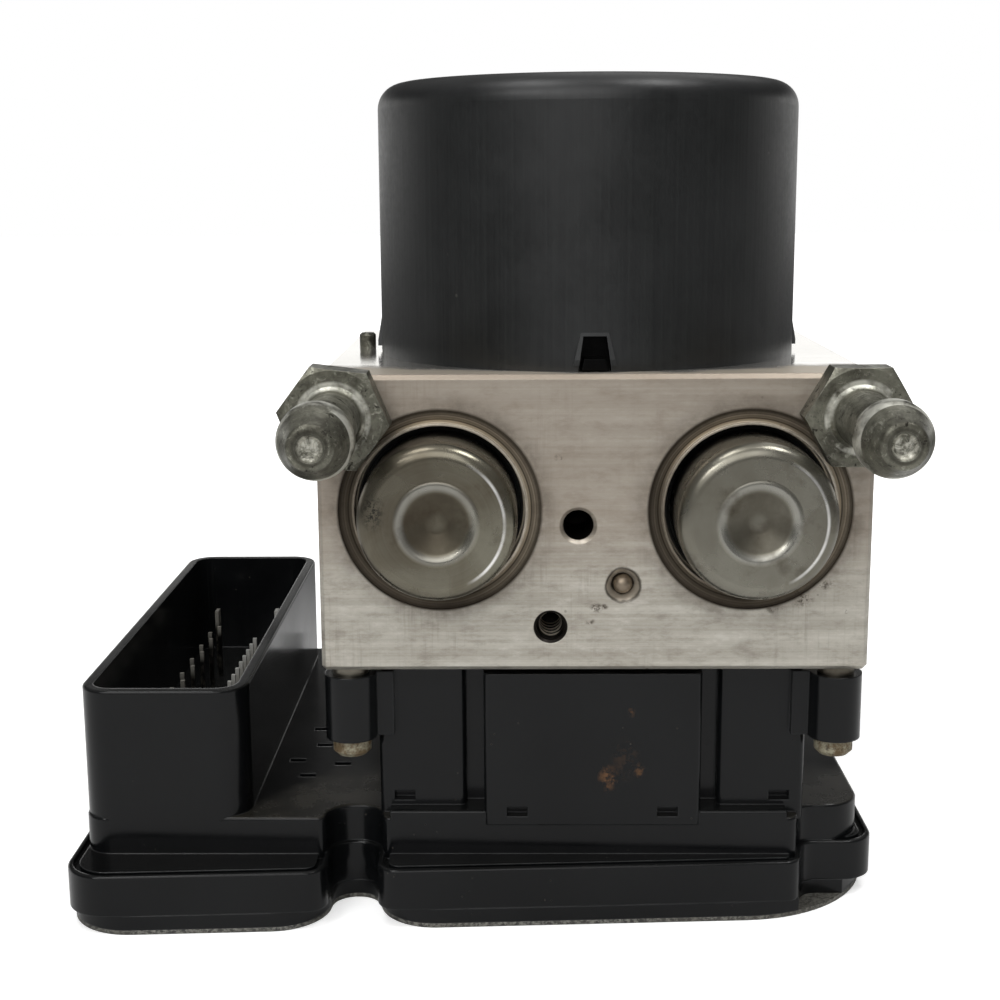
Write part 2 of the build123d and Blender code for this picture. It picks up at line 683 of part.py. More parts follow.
def motor_end_plate():
    """Plate that closes the can, with a spigot in the block and four clinched tongues."""
    seat = BEARING_WIDTH - SPIGOT_DEPTH + 1
    plate = turned([
        (SHAFT_RADIUS + 2, seat),
        (BEARING_RADIUS, seat),
        (BEARING_RADIUS, -SPIGOT_DEPTH),
        (CHAMBER_RADIUS, -SPIGOT_DEPTH),
        (CHAMBER_RADIUS, 0),
        (CAN_BORE, 0),
        (CAN_BORE, END_PLATE_THICK),
        (SHAFT_RADIUS + 2, END_PLATE_THICK),
    ])
    plate = plate - at_windows(window_opening(CAN_BORE - WINDOW_DEPTH))
    outline = trapezoid(TONGUE_WIDTH, TONGUE_WIDTH - WINDOW_TAPER, TONGUE_BOTTOM, TONGUE_TOP)
    plate = plate + at_windows(skirt_prism(outline, CAN_BORE - WINDOW_DEPTH - 1, CAN_RADIUS))
    plate = plate - upright(TERMINAL_GUIDE_RADIUS, -1, END_PLATE_THICK + 1, 0, TERMINAL_Y)
    return Pos(0, 0, BLOCK_TOP) * plate


def bearing(low):
    """Sealed ball bearing, from its lower face."""
    bore = SHAFT_RADIUS + SHAFT_CLEARANCE
    ring = upright(BEARING_RADIUS, low, low + BEARING_WIDTH) - upright(bore, low - 1, low + BEARING_WIDTH + 1)
    return Pos(0, 0, BLOCK_TOP) * ring


def motor_magnets():
    """Arc magnets bonded inside the can."""
    inner = CORE_RADIUS + AIR_GAP
    ring = upright(CAN_BORE, MAGNET_BOTTOM, MAGNET_TOP) - upright(inner, MAGNET_BOTTOM, MAGNET_TOP)
    magnets = []
    for index in range(MAGNETS):
        turn = 360 / MAGNETS * (index + 0.5) - MAGNET_ARC / 2
        wedge = Pos(0, 0, MAGNET_BOTTOM) * Cylinder(
            CAN_RADIUS, MAGNET_TOP - MAGNET_BOTTOM, arc_size=MAGNET_ARC,
            align=(Align.NONE, Align.NONE, Align.MIN))
        magnets.append(Pos(0, 0, BLOCK_TOP) * (ring & Rot(0, 0, turn) * wedge))
    return Compound(children=[part.solid() for part in magnets])


def core_slot(index):
    """One winding slot of the armature, as the solid that fills it."""
    middle = CORE_RADIUS - SLOT_DEPTH / 2
    height = CORE_TOP - CORE_BOTTOM
    slot = Pos(middle, 0, CORE_BOTTOM + height / 2) * Box(SLOT_DEPTH - 3, SLOT_WIDTH, height)
    return Rot(0, 0, 360 / CORE_SLOTS * index) * slot


def armature_core():
    """Laminated core with a ring of winding slots."""
    core = upright(CORE_RADIUS, CORE_BOTTOM, CORE_TOP) - upright(SHAFT_RADIUS, CORE_BOTTOM, CORE_TOP)
    core = core - [core_slot(index) for index in range(CORE_SLOTS)]
    return Pos(0, 0, BLOCK_TOP) * core


def armature_windings():
    """Copper windings: bars in the slots and an end turn ring above and below."""
    outer = CORE_RADIUS - 2
    inner = CORE_RADIUS - SLOT_DEPTH
    turns = [core_slot(index) for index in range(CORE_SLOTS)]
    for low in (CORE_BOTTOM - END_TURN, CORE_TOP):
        turns.append(upright(outer, low, low + END_TURN) - upright(inner, low, low + END_TURN))
    return Pos(0, 0, BLOCK_TOP) * (turns[0] + turns[1:])


def rotor_shaft():
    """Motor shaft with the eccentric that drives the pump pistons, between two collars."""
    ring_low = PUMP_HEIGHT - RING_WIDTH / 2
    ring_high = PUMP_HEIGHT + RING_WIDTH / 2
    top = BLOCK_TOP + CAN_HEIGHT - CAN_WALL - 1
    shaft = upright(SHAFT_RADIUS, ring_high, top)
    eccentric = upright(ECCENTRIC_RADIUS, ring_low, ring_high, 0, ECCENTRICITY)
    upper_collar = upright(COLLAR_RADIUS, ring_high, ring_high + COLLAR_THICK)
    lower_collar = upright(COLLAR_RADIUS, ring_low - COLLAR_THICK, ring_low)
    return shaft + [eccentric, upper_collar, lower_collar]


def eccentric_ring():
    """Needle bearing ring that turns on the eccentric and pushes the pistons."""
    low = PUMP_HEIGHT - RING_WIDTH / 2 + SHAFT_CLEARANCE
    high = PUMP_HEIGHT + RING_WIDTH / 2 - SHAFT_CLEARANCE
    bore = ECCENTRIC_RADIUS + SHAFT_CLEARANCE
    return upright(RING_RADIUS, low, high, 0, ECCENTRICITY) - upright(bore, low, high, 0, ECCENTRICITY)


def commutator():
    """Copper commutator with slits between its bars."""
    low = END_PLATE_THICK + BRUSH_CARD_THICK + 1
    high = CORE_BOTTOM - END_TURN
    ring = upright(COMMUTATOR_RADIUS, low, high) - upright(SHAFT_RADIUS, low, high)
    slits = []
    for index in range(COMMUTATOR_BARS):
        slit = Pos(COMMUTATOR_RADIUS, 0, (low + high) / 2) * Box(3, 0.6, high - low + 1)
        slits.append(Rot(0, 0, 360 / COMMUTATOR_BARS * (index + 0.5)) * slit)
    return Pos(0, 0, BLOCK_TOP) * (ring - slits)


def brush_card():
    """Moulded card that carries the brushes, on the end plate."""
    low = END_PLATE_THICK
    high = low + BRUSH_CARD_THICK
    card = upright(CAN_BORE - 1, low, high) - upright(COMMUTATOR_RADIUS + 1, low, high)
    guide_top = high + BRUSH_HEIGHT
    inner = BRUSH_WIDTH / 2
    outer = inner + BRUSH_GUIDE_WALL
    for x in (-1, 1):
        start = x * (COMMUTATOR_RADIUS + BRUSH_GAP + BRUSH_GUIDE_WALL)
        end = x * (COMMUTATOR_RADIUS + BRUSH_GAP + BRUSH_LENGTH + BRUSH_GUIDE_WALL)
        low_x, high_x = sorted((start, end))
        card = card + between((low_x, -outer, high), (high_x, -inner, guide_top))
        card = card + between((low_x, inner, high), (high_x, outer, guide_top))
    for x in (-1, 1):
        card = card - upright(TERMINAL_RADIUS, low - 1, high + 1, x * TERMINAL_SPACING / 2, TERMINAL_Y)
    return Pos(0, 0, BLOCK_TOP) * card


def carbon_brushes():
    """Two brushes in their guides, one each side of the commutator."""
    low = END_PLATE_THICK + BRUSH_CARD_THICK
    near = COMMUTATOR_RADIUS + BRUSH_GAP
    half = BRUSH_WIDTH / 2
    brush = between((near, -half, low), (near + BRUSH_LENGTH, half, low + BRUSH_HEIGHT))
    brushes = [Pos(0, 0, BLOCK_TOP) * Rot(0, 0, 180 * index) * brush for index in range(2)]
    return Compound(children=[part.solid() for part in brushes])


def terminal_guide():
    """Insulating tube that takes the motor's terminals through the block."""
    tube = upright(TERMINAL_GUIDE_RADIUS, HOUSING_TOP, BLOCK_TOP + END_PLATE_THICK, 0, TERMINAL_Y)
    return tube - list(terminal_pair(HOUSING_TOP - 1))


def terminal_pair(low):
    """The two terminal pins, from a lower level up to the brush card's top."""
    high = BLOCK_TOP + END_PLATE_THICK + BRUSH_CARD_THICK
    for x in (-1, 1):
        yield upright(TERMINAL_RADIUS, low, high, x * TERMINAL_SPACING / 2, TERMINAL_Y)


def motor_terminals():
    """Terminal pins from the brush card down to the control unit."""
    return Compound(children=[pin.solid() for pin in terminal_pair(COIL_FLOOR)])


# ---- solenoid valves ----------------------------------------------------------------------
def valve_cartridges():
    """Valve cartridges in the block's underside, their domes reaching down into the coils."""
    dome_edge = VALVE_DOME_RADIUS / 3
    valve = turned([
        (0, -VALVE_DOME_LENGTH),
        (VALVE_DOME_RADIUS - dome_edge, -VALVE_DOME_LENGTH),
        (VALVE_DOME_RADIUS, dome_edge - VALVE_DOME_LENGTH),
        (VALVE_DOME_RADIUS, 0),
        (VALVE_RADIUS, 0),
        (VALVE_RADIUS, VALVE_POCKET_DEPTH),
        (0, VALVE_POCKET_DEPTH),
    ])
    places = [Pos(x, y, BLOCK_BOTTOM) * valve for x, y in valve_places()]
    return Compound(children=[part.solid() for part in places])


def valve_coils():
    """Wound coils standing on the coil housing's floor, around the valve domes."""
    high = COIL_FLOOR + COIL_HEIGHT
    bore = VALVE_DOME_RADIUS + COIL_BORE_CLEARANCE
    coils = []
    for x, y in valve_places():
        coil = upright(COIL_RADIUS, COIL_FLOOR, high, x, y) - upright(bore, COIL_FLOOR, high, x, y)
        coils.append(coil.solid())
    return Compound(children=coils)


# ---- control unit ----------------------------------------------------------------------------
def body_plan():
    """Plan outline of the housing's lower body, with the two screw notches in its front."""
    left = -BODY_LEFT
    front = -BODY_FRONT
    notch = NOTCH_RADIUS
    notch_back = notch - BOSS_Y
    points = [
        (left, front),
        (-BOSS_X - notch, front),
        (-BOSS_X - notch, notch_back),
        (notch - BOSS_X, notch_back),
        (notch - BOSS_X, front),
        (BODY_FRONT_END, front),
        (BODY_FRONT_END + 1, notch_back),
        (BODY_RIGHT, notch_back),
        (BODY_RIGHT, BODY_BACK),
        (left, BODY_BACK),
    ]
    inner = notch - 0.3
    radii = [BODY_CORNER, 1.5, inner, inner, 1.5, 2, 3.5, 7, BODY_CORNER, BODY_CORNER]
    return make_face(FilletPolyline(*points, radius=radii, close=True))


def inner_plan(inset):
    """Plan outline inside the lower body's walls, clear of the two screw notches."""
    wide = BODY_LEFT + BODY_RIGHT - 2 * inset
    deep = BODY_BACK + BODY_FRONT - 2 * inset
    centre = Pos((BODY_RIGHT - BODY_LEFT) / 2, (BODY_BACK - BODY_FRONT) / 2)
    reach = NOTCH_RADIUS + inset
    left_notch = Pos(-BOSS_X, -BOSS_Y) * Circle(reach)
    right_notch = Pos(BOSS_X, -BOSS_Y) * Rectangle(2 * (BOSS_X - BODY_FRONT_END + inset), 2 * reach)
    return centre * RectangleRounded(wide, deep, BODY_CORNER - inset / 2) - left_notch - right_notch


def flange_front(x):
    """The flange's front edge, which runs slightly askew to the block."""
    return -BODY_FRONT - FLANGE_FRONT - FLANGE_SLOPE * (BODY_FRONT_END - x)


def flange_plan(inset=0.0):
    """Plan outline of the flange, with the two screw notches in its front."""
    left = -FLANGE_LEFT
    notch = DRIVER_RADIUS
    notch_back = notch - BOSS_Y
    points = [
        (left, flange_front(left)),
        (-BOSS_X - notch, flange_front(-BOSS_X - notch)),
        (-BOSS_X - notch, notch_back),
        (notch - BOSS_X, notch_back),
        (notch - BOSS_X, flange_front(notch - BOSS_X)),
        (BODY_FRONT_END, flange_front(BODY_FRONT_END)),
        (BODY_FRONT_END + 2, notch_back),
        (FLANGE_RIGHT, notch_back),
        (FLANGE_RIGHT, BODY_BACK + FLANGE_BACK),
        (left, BODY_BACK + FLANGE_BACK),
    ]
    shoulder = SHOULDER_RADIUS
    inner = notch - 0.05
    radii = [FLANGE_CORNER, shoulder, inner, inner, shoulder, 3, 3.5, 6, FLANGE_CORNER, FLANGE_CORNER]
    plan = make_face(FilletPolyline(*points, radius=radii, close=True))
    return offset(plan, -inset, kind=Kind.INTERSECTION) if inset else plan


def plate_plan():
    """Plan outline of the sheet under the lid, which sweeps past the right-hand notch."""
    left = -FLANGE_LEFT
    notch = DRIVER_RADIUS
    notch_back = notch - BOSS_Y
    points = [
        (left, flange_front(left)),
        (-BOSS_X - notch, flange_front(-BOSS_X - notch)),
        (-BOSS_X - notch, notch_back),
        (notch - BOSS_X, notch_back),
        (notch - BOSS_X, flange_front(notch - BOSS_X)),
        (FLANGE_RIGHT, flange_front(FLANGE_RIGHT)),
        (FLANGE_RIGHT, BODY_BACK + FLANGE_BACK),
        (left, BODY_BACK + FLANGE_BACK),
    ]
    inner = notch - 0.05
    radii = [PLATE_LEFT_CORNER, PLATE_SHOULDER, inner, inner, PLATE_SHOULDER, PLATE_RIGHT_CORNER,
             FLANGE_CORNER, FLANGE_CORNER]
    return make_face(FilletPolyline(*points, radius=radii, close=True))


def shroud_plan(inset=0.0):
    """Plan outline of the connector shroud, or of its inside at a given wall."""
    centre_x = SHROUD_WIDTH / 2 - BODY_LEFT
    centre_y = (SHROUD_BACK - BODY_FRONT) / 2
    length = SHROUD_BACK + BODY_FRONT
    corner = SHROUD_CORNER - inset
    return Pos(centre_x, centre_y) * RectangleRounded(SHROUD_WIDTH - 2 * inset, length - 2 * inset, corner)


def raised(face, low, high):
    """A plan face extruded between two levels."""
    return Pos(0, 0, low) * extrude(face, high - low)


def rounded_top(solid, radius):
    """A solid with the edges of its top face rounded."""
    return fillet(solid.faces().sort_by(Axis.Z)[-1].edges(), radius)


def coil_housing_solid():
    """Outside of the coil housing: centre panel, side panels and the channels between."""
    low = DECK_TOP - LEDGE_HEIGHT
    half = COIL_HOUSING_HALF_WIDTH
    front = -COIL_HOUSING_FRONT
    solid = between((-half, front, low), (half, COIL_HOUSING_BACK, HOUSING_TOP))
    channel_outer = PANEL_HALF_WIDTH + CHANNEL_WIDTH
    for side in SIDES.values():
        x_low, x_high = sorted((side * PANEL_HALF_WIDTH, side * channel_outer))
        solid = solid - between((x_low, front - 1, LEDGE_TOP), (x_high, front + CHANNEL_DEPTH, HOUSING_TOP + 1))
    upright_edges = solid.edges().filter_by(Axis.Z).group_by(Axis.Y)[0]
    solid = fillet(upright_edges, PANEL_EDGE)
    panel_front = -BODY_FRONT - PANEL_PROUD
    panel = between(
        (-PANEL_HALF_WIDTH, panel_front, PANEL_BOTTOM),
        (PANEL_HALF_WIDTH, front + CHANNEL_DEPTH, HOUSING_TOP))
    panel = fillet(panel.edges().filter_by(Axis.Z).group_by(Axis.Y)[0], PANEL_EDGE)
    ledge = between((NOTCH_RADIUS + 1.5 - BOSS_X, -BODY_FRONT, low), (BODY_FRONT_END - 2, front + 1, LEDGE_TOP))
    ledge = fillet(ledge.edges().filter_by(Axis.X).group_by(Axis.Z)[-1].sort_by(Axis.Y)[0], BODY_EDGE)
    return solid + [panel, ledge]


def screw_bosses():
    """Screw columns and the webs that tie them to the coil housing."""
    half = COIL_HOUSING_HALF_WIDTH
    solids = []
    for x, y in boss_places():
        side = 1 if x > 0 else -1
        end = 1 if y > 0 else -1
        solids.append(upright(BOSS_RADIUS, BOSS_BOTTOM, HOUSING_TOP, x, y))
        x_low, x_high = sorted((side * (half - 3), x))
        y_low, y_high = sorted((y, y - end * BOSS_RADIUS))
        solids.append(between((x_low, y_low, BOSS_BOTTOM), (x_high, y_high, HOUSING_TOP)))
    return solids


def latch_windows():
    """Small latch windows near the foot of the centre and side panels."""
    cuts = []
    centre_front = -BODY_FRONT - PANEL_PROUD
    for side in SIDES.values():
        opening = Box(LATCH_WIDTH, 2 * LATCH_DEPTH, LATCH_HEIGHT)
        cuts.append(Pos(side * CENTRE_LATCH_X, centre_front, CENTRE_LATCH_Z) * opening)
        cuts.append(Pos(side * SIDE_LATCH_X, -COIL_HOUSING_FRONT, SIDE_LATCH_Z) * opening)
    return cuts


def deck_slots():
    """Shallow slots in the deck beside the shroud."""
    wide, deep, depth = DECK_SLOT_SIZE
    return [Pos(x, y, DECK_TOP) * Box(wide, deep, 2 * depth) for x, y in DECK_SLOTS]


def pin_places():
    """Connector pins: plan place, width along Y and top level."""
    for index in range(SIGNAL_PINS):
        yield SIGNAL_ROW_X, SIGNAL_ROW_Y + SIGNAL_PITCH * index, PIN_THICK, PIN_TOP
    for index in range(STAGGER_PINS):
        x = STAGGER_ROW_X + STAGGER * (index % 2 - 0.5)
        yield x, SIGNAL_ROW_Y + STAGGER_PITCH * index, PIN_THICK, PIN_TOP
    for x in POWER_PIN_XS:
        yield x, POWER_PIN_Y, POWER_PIN_WIDTH, POWER_PIN_TOP


def pin_blades():
    """The pins as blades standing on the circuit board."""
    for x, y, width, top in pin_places():
        half_x = PIN_THICK / 2
        half_y = width / 2
        yield between((x - half_x, y - half_y, BOARD_TOP), (x + half_x, y + half_y, top))


def rear_driver_tubes():
    """Places of the tubes that let a driver reach the two rear screws."""
    return [(side * BOSS_X, BOSS_Y) for side in SIDES.values()]


def electronics_cavity():
    """Space for the circuit board, stepped so that the board seats from below."""
    lower = raised(inner_plan(WALL), COVER_TOP - 1, BOARD_TOP)
    upper = raised(inner_plan(WALL + BOARD_STEP), BOARD_TOP, DECK_TOP - WALL)
    below_shroud = raised(shroud_plan(WALL + BOARD_STEP), BOARD_TOP, SHROUD_FLOOR - SHROUD_FLOOR_THICK)
    cavity = lower + [upper, below_shroud]
    for x, y in rear_driver_tubes():
        cavity = cavity - upright(DRIVER_RADIUS + WALL, 0, BLOCK_BOTTOM, x, y)
    return cavity


def ecu_housing():
    """Moulded housing: flange, lower body, coil housing, screw bosses and shroud."""
    flange = rounded_top(raised(flange_plan(), COVER_TOP, FLANGE_TOP), FLANGE_EDGE)
    groove = flange_plan(SEAL_GROOVE_INSET) - flange_plan(SEAL_GROOVE_INSET + SEAL_GROOVE_WIDTH)
    flange = flange - raised(groove, FLANGE_TOP - SEAL_GROOVE_DEEP, FLANGE_TOP + 1)
    body = rounded_top(raised(body_plan(), COVER_TOP, DECK_TOP), BODY_EDGE)
    shroud = rounded_top(raised(shroud_plan(), FLANGE_TOP, SHROUD_TOP), SHROUD_EDGE)
    lug_half = REAR_LUG_WIDTH / 2
    rear_lug = between(
        (REAR_LUG_X - lug_half, BODY_BACK - BODY_EDGE - REAR_LUG_WIDTH, DECK_TOP - 1),
        (REAR_LUG_X + lug_half, BODY_BACK - BODY_EDGE, DECK_TOP + REAR_LUG_HEIGHT))
    housing = flange + [body, shroud, rear_lug, coil_housing_solid()] + screw_bosses()
    cuts = [electronics_cavity(), raised(shroud_plan(WALL), SHROUD_FLOOR, SHROUD_TOP + 1)]
    cuts.append(between(
        (WALL - COIL_HOUSING_HALF_WIDTH, CHANNEL_DEPTH + WALL - COIL_HOUSING_FRONT, COIL_FLOOR),
        (COIL_HOUSING_HALF_WIDTH - WALL, COIL_HOUSING_BACK - WALL, HOUSING_TOP + 1)))
    cuts += latch_windows() + deck_slots()
    cuts += pin_blades()
    for x, y in boss_places():
        cuts.append(upright(BUSH_RADIUS, BOSS_BOTTOM - 1, HOUSING_TOP + 1, x, y))
    for x, y in rear_driver_tubes():
        cuts.append(upright(DRIVER_RADIUS, 0, BOSS_BOTTOM, x, y))
    return housing - cuts


def ecu_bottom_cover():
    """Moulded lid that closes the housing from below."""
    lid = raised(flange_plan() & plate_plan(), PLATE_THICK, COVER_TOP)
    return lid - [upright(DRIVER_RADIUS, 0, COVER_TOP + 1, x, y) for x, y in rear_driver_tubes()]


def cover_plate():
    """Sheet metal plate bonded under the lid."""
    plate = raised(plate_plan(), 0, PLATE_THICK)
    return plate - [upright(DRIVER_RADIUS, -1, PLATE_THICK + 1, x, y) for x, y in rear_driver_tubes()]


def circuit_board():
    """Circuit board, seated against the step in the housing."""
    board = raised(inner_plan(WALL + BOARD_CLEARANCE), BOARD_LEVEL, BOARD_TOP)
    for x, y in rear_driver_tubes():
        board = board - upright(DRIVER_RADIUS + WALL + BOARD_CLEARANCE, 0, BOARD_TOP + 1, x, y)
    return board


def control_chips():
    """Packages soldered to the board's underside."""
    chips = []
    for x, y, wide, deep, tall in CHIPS:
        low = BOARD_LEVEL - tall
        chips.append(between((x - wide / 2, y - deep / 2, low), (x + wide / 2, y + deep / 2, BOARD_LEVEL)).solid())
    return Compound(children=chips)


def connector_pins():
    """Pins that stand on the board and rise through the shroud's floor."""
    return Compound(children=[pin.solid() for pin in pin_blades()])


def ecu_seal():
    """Rubber frame between the coil housing's rim and the block."""
    half = COIL_HOUSING_HALF_WIDTH - 0.3
    front = CHANNEL_DEPTH + 0.3 - COIL_HOUSING_FRONT
    back = COIL_HOUSING_BACK - 0.3
    inset = WALL - 0.6
    frame = between((-half, front, HOUSING_TOP), (half, back, BLOCK_BOTTOM))
    return frame - between((inset - half, front + inset, HOUSING_TOP), (half - inset, back - inset, BLOCK_BOTTOM))


def boss_bushes():
    """Steel bushes in the screw bosses, clamped between the screw heads and the block."""
    bore = SCREW_RADIUS + SCREW_CLEARANCE
    bushes = []
    for x, y in boss_places():
        bush = upright(BUSH_RADIUS, BOSS_BOTTOM, BLOCK_BOTTOM, x, y) - upright(bore, BOSS_BOTTOM, BLOCK_BOTTOM, x, y)
        bushes.append(bush.solid())
    return Compound(children=bushes)


def ecu_screws():
    """Screws that hold the control unit to the block, driven from below."""
    foot = BOSS_BOTTOM - SCREW_HEAD_HEIGHT
    edge = SCREW_HEAD_HEIGHT / 4
    head = turned([
        (0, 0),
        (SCREW_HEAD_RADIUS - edge, 0),
        (SCREW_HEAD_RADIUS, edge),
        (SCREW_HEAD_RADIUS, SCREW_HEAD_HEIGHT),
        (0, SCREW_HEAD_HEIGHT),
    ])
    shank = upright(SCREW_RADIUS, 0, BLOCK_BOTTOM + SCREW_IN_BLOCK - foot)
    socket = extrude(RegularPolygon(SCREW_RADIUS * 0.8, 6), SCREW_HEAD_HEIGHT / 2)
    screw = head + shank - socket
    screws = [Pos(x, y, foot) * screw for x, y in boss_places()]
    return Compound(children=[part.solid() for part in screws])


# ---- all sub-parts ----------------------------------------------------------------------
def all_parts():
    """Every node of the assembly by name."""
    parts = {
        "valve_block": valve_block(),
        "ball_plug": ball_plug(),
        "locating_pin": locating_pin(),
        "motor_can": motor_can(),
        "motor_end_plate": motor_end_plate(),
        "lower_bearing": bearing(1 - SPIGOT_DEPTH),
        "upper_bearing": bearing(CAN_HEIGHT - CAN_WALL - BEARING_WIDTH),
        "motor_magnets": motor_magnets(),
        "armature_core": armature_core(),
        "armature_windings": armature_windings(),
        "commutator": commutator(),
        "rotor_shaft": rotor_shaft(),
        "eccentric_ring": eccentric_ring(),
        "brush_card": brush_card(),
        "carbon_brushes": carbon_brushes(),
        "terminal_guide": terminal_guide(),
        "motor_terminals": motor_terminals(),
        "valve_cartridges": valve_cartridges(),
        "valve_coils": valve_coils(),
        "ecu_housing": ecu_housing(),
        "ecu_bottom_cover": ecu_bottom_cover(),
        "cover_plate": cover_plate(),
        "ecu_seal": ecu_seal(),
        "circuit_board": circuit_board(),
        "control_chips": control_chips(),
        "connector_pins": connector_pins(),
        "boss_bushes": boss_bushes(),
        "ecu_screws": ecu_screws(),
    }
    for name, side in SIDES.items():
        parts["mounting_stud_" + name] = mounting_stud(side)
        parts["accumulator_cap_" + name] = accumulator_cap(side)
        parts["accumulator_piston_" + name] = accumulator_piston(side)
        parts["accumulator_seal_" + name] = accumulator_seal(side)
        parts["accumulator_spring_" + name] = accumulator_spring(side)
        parts["pump_piston_" + name] = pump_piston(side)
        parts["pump_spring_" + name] = pump_spring(side)
        parts["pump_plug_" + name] = pump_plug(side)
    return parts


os.makedirs("parts", exist_ok=True)
for node, shape in all_parts().items():
    export_step(shape, "parts/" + node + ".step")
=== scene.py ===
import json
import math

import bmesh
import bpy
from mathutils import Matrix, Vector


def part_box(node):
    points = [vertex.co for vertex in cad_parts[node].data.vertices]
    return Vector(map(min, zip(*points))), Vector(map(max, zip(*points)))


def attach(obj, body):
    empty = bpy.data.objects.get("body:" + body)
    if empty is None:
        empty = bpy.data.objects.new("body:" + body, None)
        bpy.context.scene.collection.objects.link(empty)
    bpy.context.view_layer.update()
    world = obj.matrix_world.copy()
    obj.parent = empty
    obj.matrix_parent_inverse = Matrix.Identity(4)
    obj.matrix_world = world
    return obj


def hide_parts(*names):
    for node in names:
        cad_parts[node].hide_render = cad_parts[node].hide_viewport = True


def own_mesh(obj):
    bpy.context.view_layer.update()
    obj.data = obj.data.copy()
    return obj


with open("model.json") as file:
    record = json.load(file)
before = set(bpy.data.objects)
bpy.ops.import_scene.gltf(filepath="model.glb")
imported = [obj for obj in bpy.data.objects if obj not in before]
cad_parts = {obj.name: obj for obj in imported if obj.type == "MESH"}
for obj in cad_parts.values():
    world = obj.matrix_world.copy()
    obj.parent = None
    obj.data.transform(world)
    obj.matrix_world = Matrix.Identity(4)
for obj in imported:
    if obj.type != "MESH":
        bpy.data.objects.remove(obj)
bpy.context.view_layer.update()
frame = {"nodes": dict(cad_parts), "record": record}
NODES = frame["nodes"]

# ---- view of the photograph, in pixels and metres ------------------------------------
IMAGE = 1000.0
FOCAL_PIXELS = 1594.43
SENSOR = 36.0
CAMERA_AT = Vector((-0.01289, -0.31942, 0.13383))
YAW, PITCH, ROLL = -0.01389, -0.19553, -0.00566
CLIP_START = 0.01

# ---- light: strengths, and the ranges of direction or distance over which they change ------
BACKDROP_GLOW = 1.15
ROOM_GLOW_BACK = 0.07
ROOM_GLOW = 0.22
HIGH_GLOW = 0.31
CEILING_GLOW = 0.70
BEHIND_FROM = (0.0, 0.5)
BACKDROP_TOP = (0.16, 0.24)
HIGH_FROM = (0.42, 0.62)
CEILING_FROM = (0.84, 0.96)
ROOM_TINT = (1.0, 0.995, 0.98, 1.0)
FLOOR_WHITE = (0.82, 0.82, 0.82, 1.0)
FLOOR_HALF = 4.0
FLOOR_DROP = 0.0001
FLOOR_FADE_AWAY = (0.25, 0.80, 0.82, 0.30)
FLOOR_FADE_BEHIND = (0.08, 0.26, 1.0, 0.32)
FLOOR_GLOW = (0.16, 0.45, 0.50, 1.0)
LAMPS_POINT_AT = (0.0, 0.0, 0.07)
# name, place, side in metres, watts
LAMPS = (("front_soft", (-0.15, -1.1, 0.75), 0.9, 6.5),
         ("key_left", (-0.75, -1.0, 0.85), 0.30, 3.6),
         ("overhead_left", (-0.32, -0.25, 1.0), 0.30, 2.6),
         ("overhead_right", (0.38, -0.2, 1.0), 0.30, 3.2),
         ("back_soft", (0.3, 0.8, 1.3), 0.9, 2.2))

# ---- radii round an axis where a material changes, as (start, end) of each soft edge --------
SEAT_DIRT = (0.0180, 0.0222)
SEAT_EDGE = (0.0179, 0.0182)
SEAT_OUTER_LINE = ((0.0172, 0.0176), (0.0180, 0.0184))
SEAT_INNER_LINE = ((0.0160, 0.0162), (0.0163, 0.0165))
SEAT_LIP = ((0.0149, 0.0151), (0.0157, 0.0160))
SEAT_WELL = (0.0147, 0.0149)
CAP_RIM_HIGHLIGHT = ((0.0112, 0.0115), (0.0116, 0.0120))
CAP_BEAD = ((0.0053, 0.0063), (0.0066, 0.0076))
CAP_DISH = (0.0050, 0.0060)
STUD_NECK_HIGHLIGHT = ((0.0050, 0.0054), (0.0063, 0.0067))
STUD_HALO = ((0.0020, 0.0023), (0.0027, 0.0030))
STUD_POCKET = (0.0018, 0.0022)
PLUG_RIM = ((0.00275, 0.00300), (0.00315, 0.00345))
PLUG_SEAT = (0.0029, 0.0031)
PLUG_BALL = (0.00185, 0.00215)
VENT_EDGE = (0.00272, 0.00280)
TAPPED_EDGE = (0.00318, 0.00324)

# ---- other measures of the materials --------------------------------------------------------
BEVEL_SAMPLES = 6
EDGE_TURN = (0.02, 0.20)
FACES_UP = (0.80, 0.95)
BLOCK_TOP_LEVEL = (0.1009, 0.1012)
LEDGE_HALF_WIDTH = 0.038
LEDGE_BOW = 0.009
LEDGE_MIDDLE_Y = -0.041
LEDGE_FADE = (-0.0020, 0.0040)
DECK_LEVEL = ((0.0165, 0.0170), (0.0185, 0.0190))
LAMINATION_PITCH = 0.0005
WIRE_PITCH = 0.0007

# ---- added pieces, in metres ----------------------------------------------------------------
SAME_POINT = 1e-7
THREAD_STEPS = 40
THREAD_RUN_OUT = 12.0
THREAD_OVERLAP = 0.00002
BRACKET_THREAD_IN = 0.0014
BRACKET_THREAD = {"length": 0.0094, "pitch": 0.0019, "depth": 0.00060}
PORT_THREAD_IN = 0.0018
PORT_THREAD = {"length": 0.0098, "pitch": 0.0010, "depth": 0.00045}
TUBE_SIDES = 10
SPRING_RADIUS = 0.0088
SPRING_WIRE = 0.0016
SPRING_TURNS = 7
SPRING_STEPS = 32
SPRING_CLOSED = 0.10


def srgb(red, green, blue):
    """Linear colour of an 8-bit display colour."""
    def linear(value):
        value = value / 255.0
        return value / 12.92 if value <= 0.04045 else ((value + 0.055) / 1.055) ** 2.4
    return (linear(red), linear(green), linear(blue), 1.0)


def set_range(node, low, high, to_low, to_high):
    """Fills in the four ends of a Map Range node."""
    for key, number in (("From Min", low), ("From Max", high), ("To Min", to_low), ("To Max", to_high)):
        node.inputs[key].default_value = number


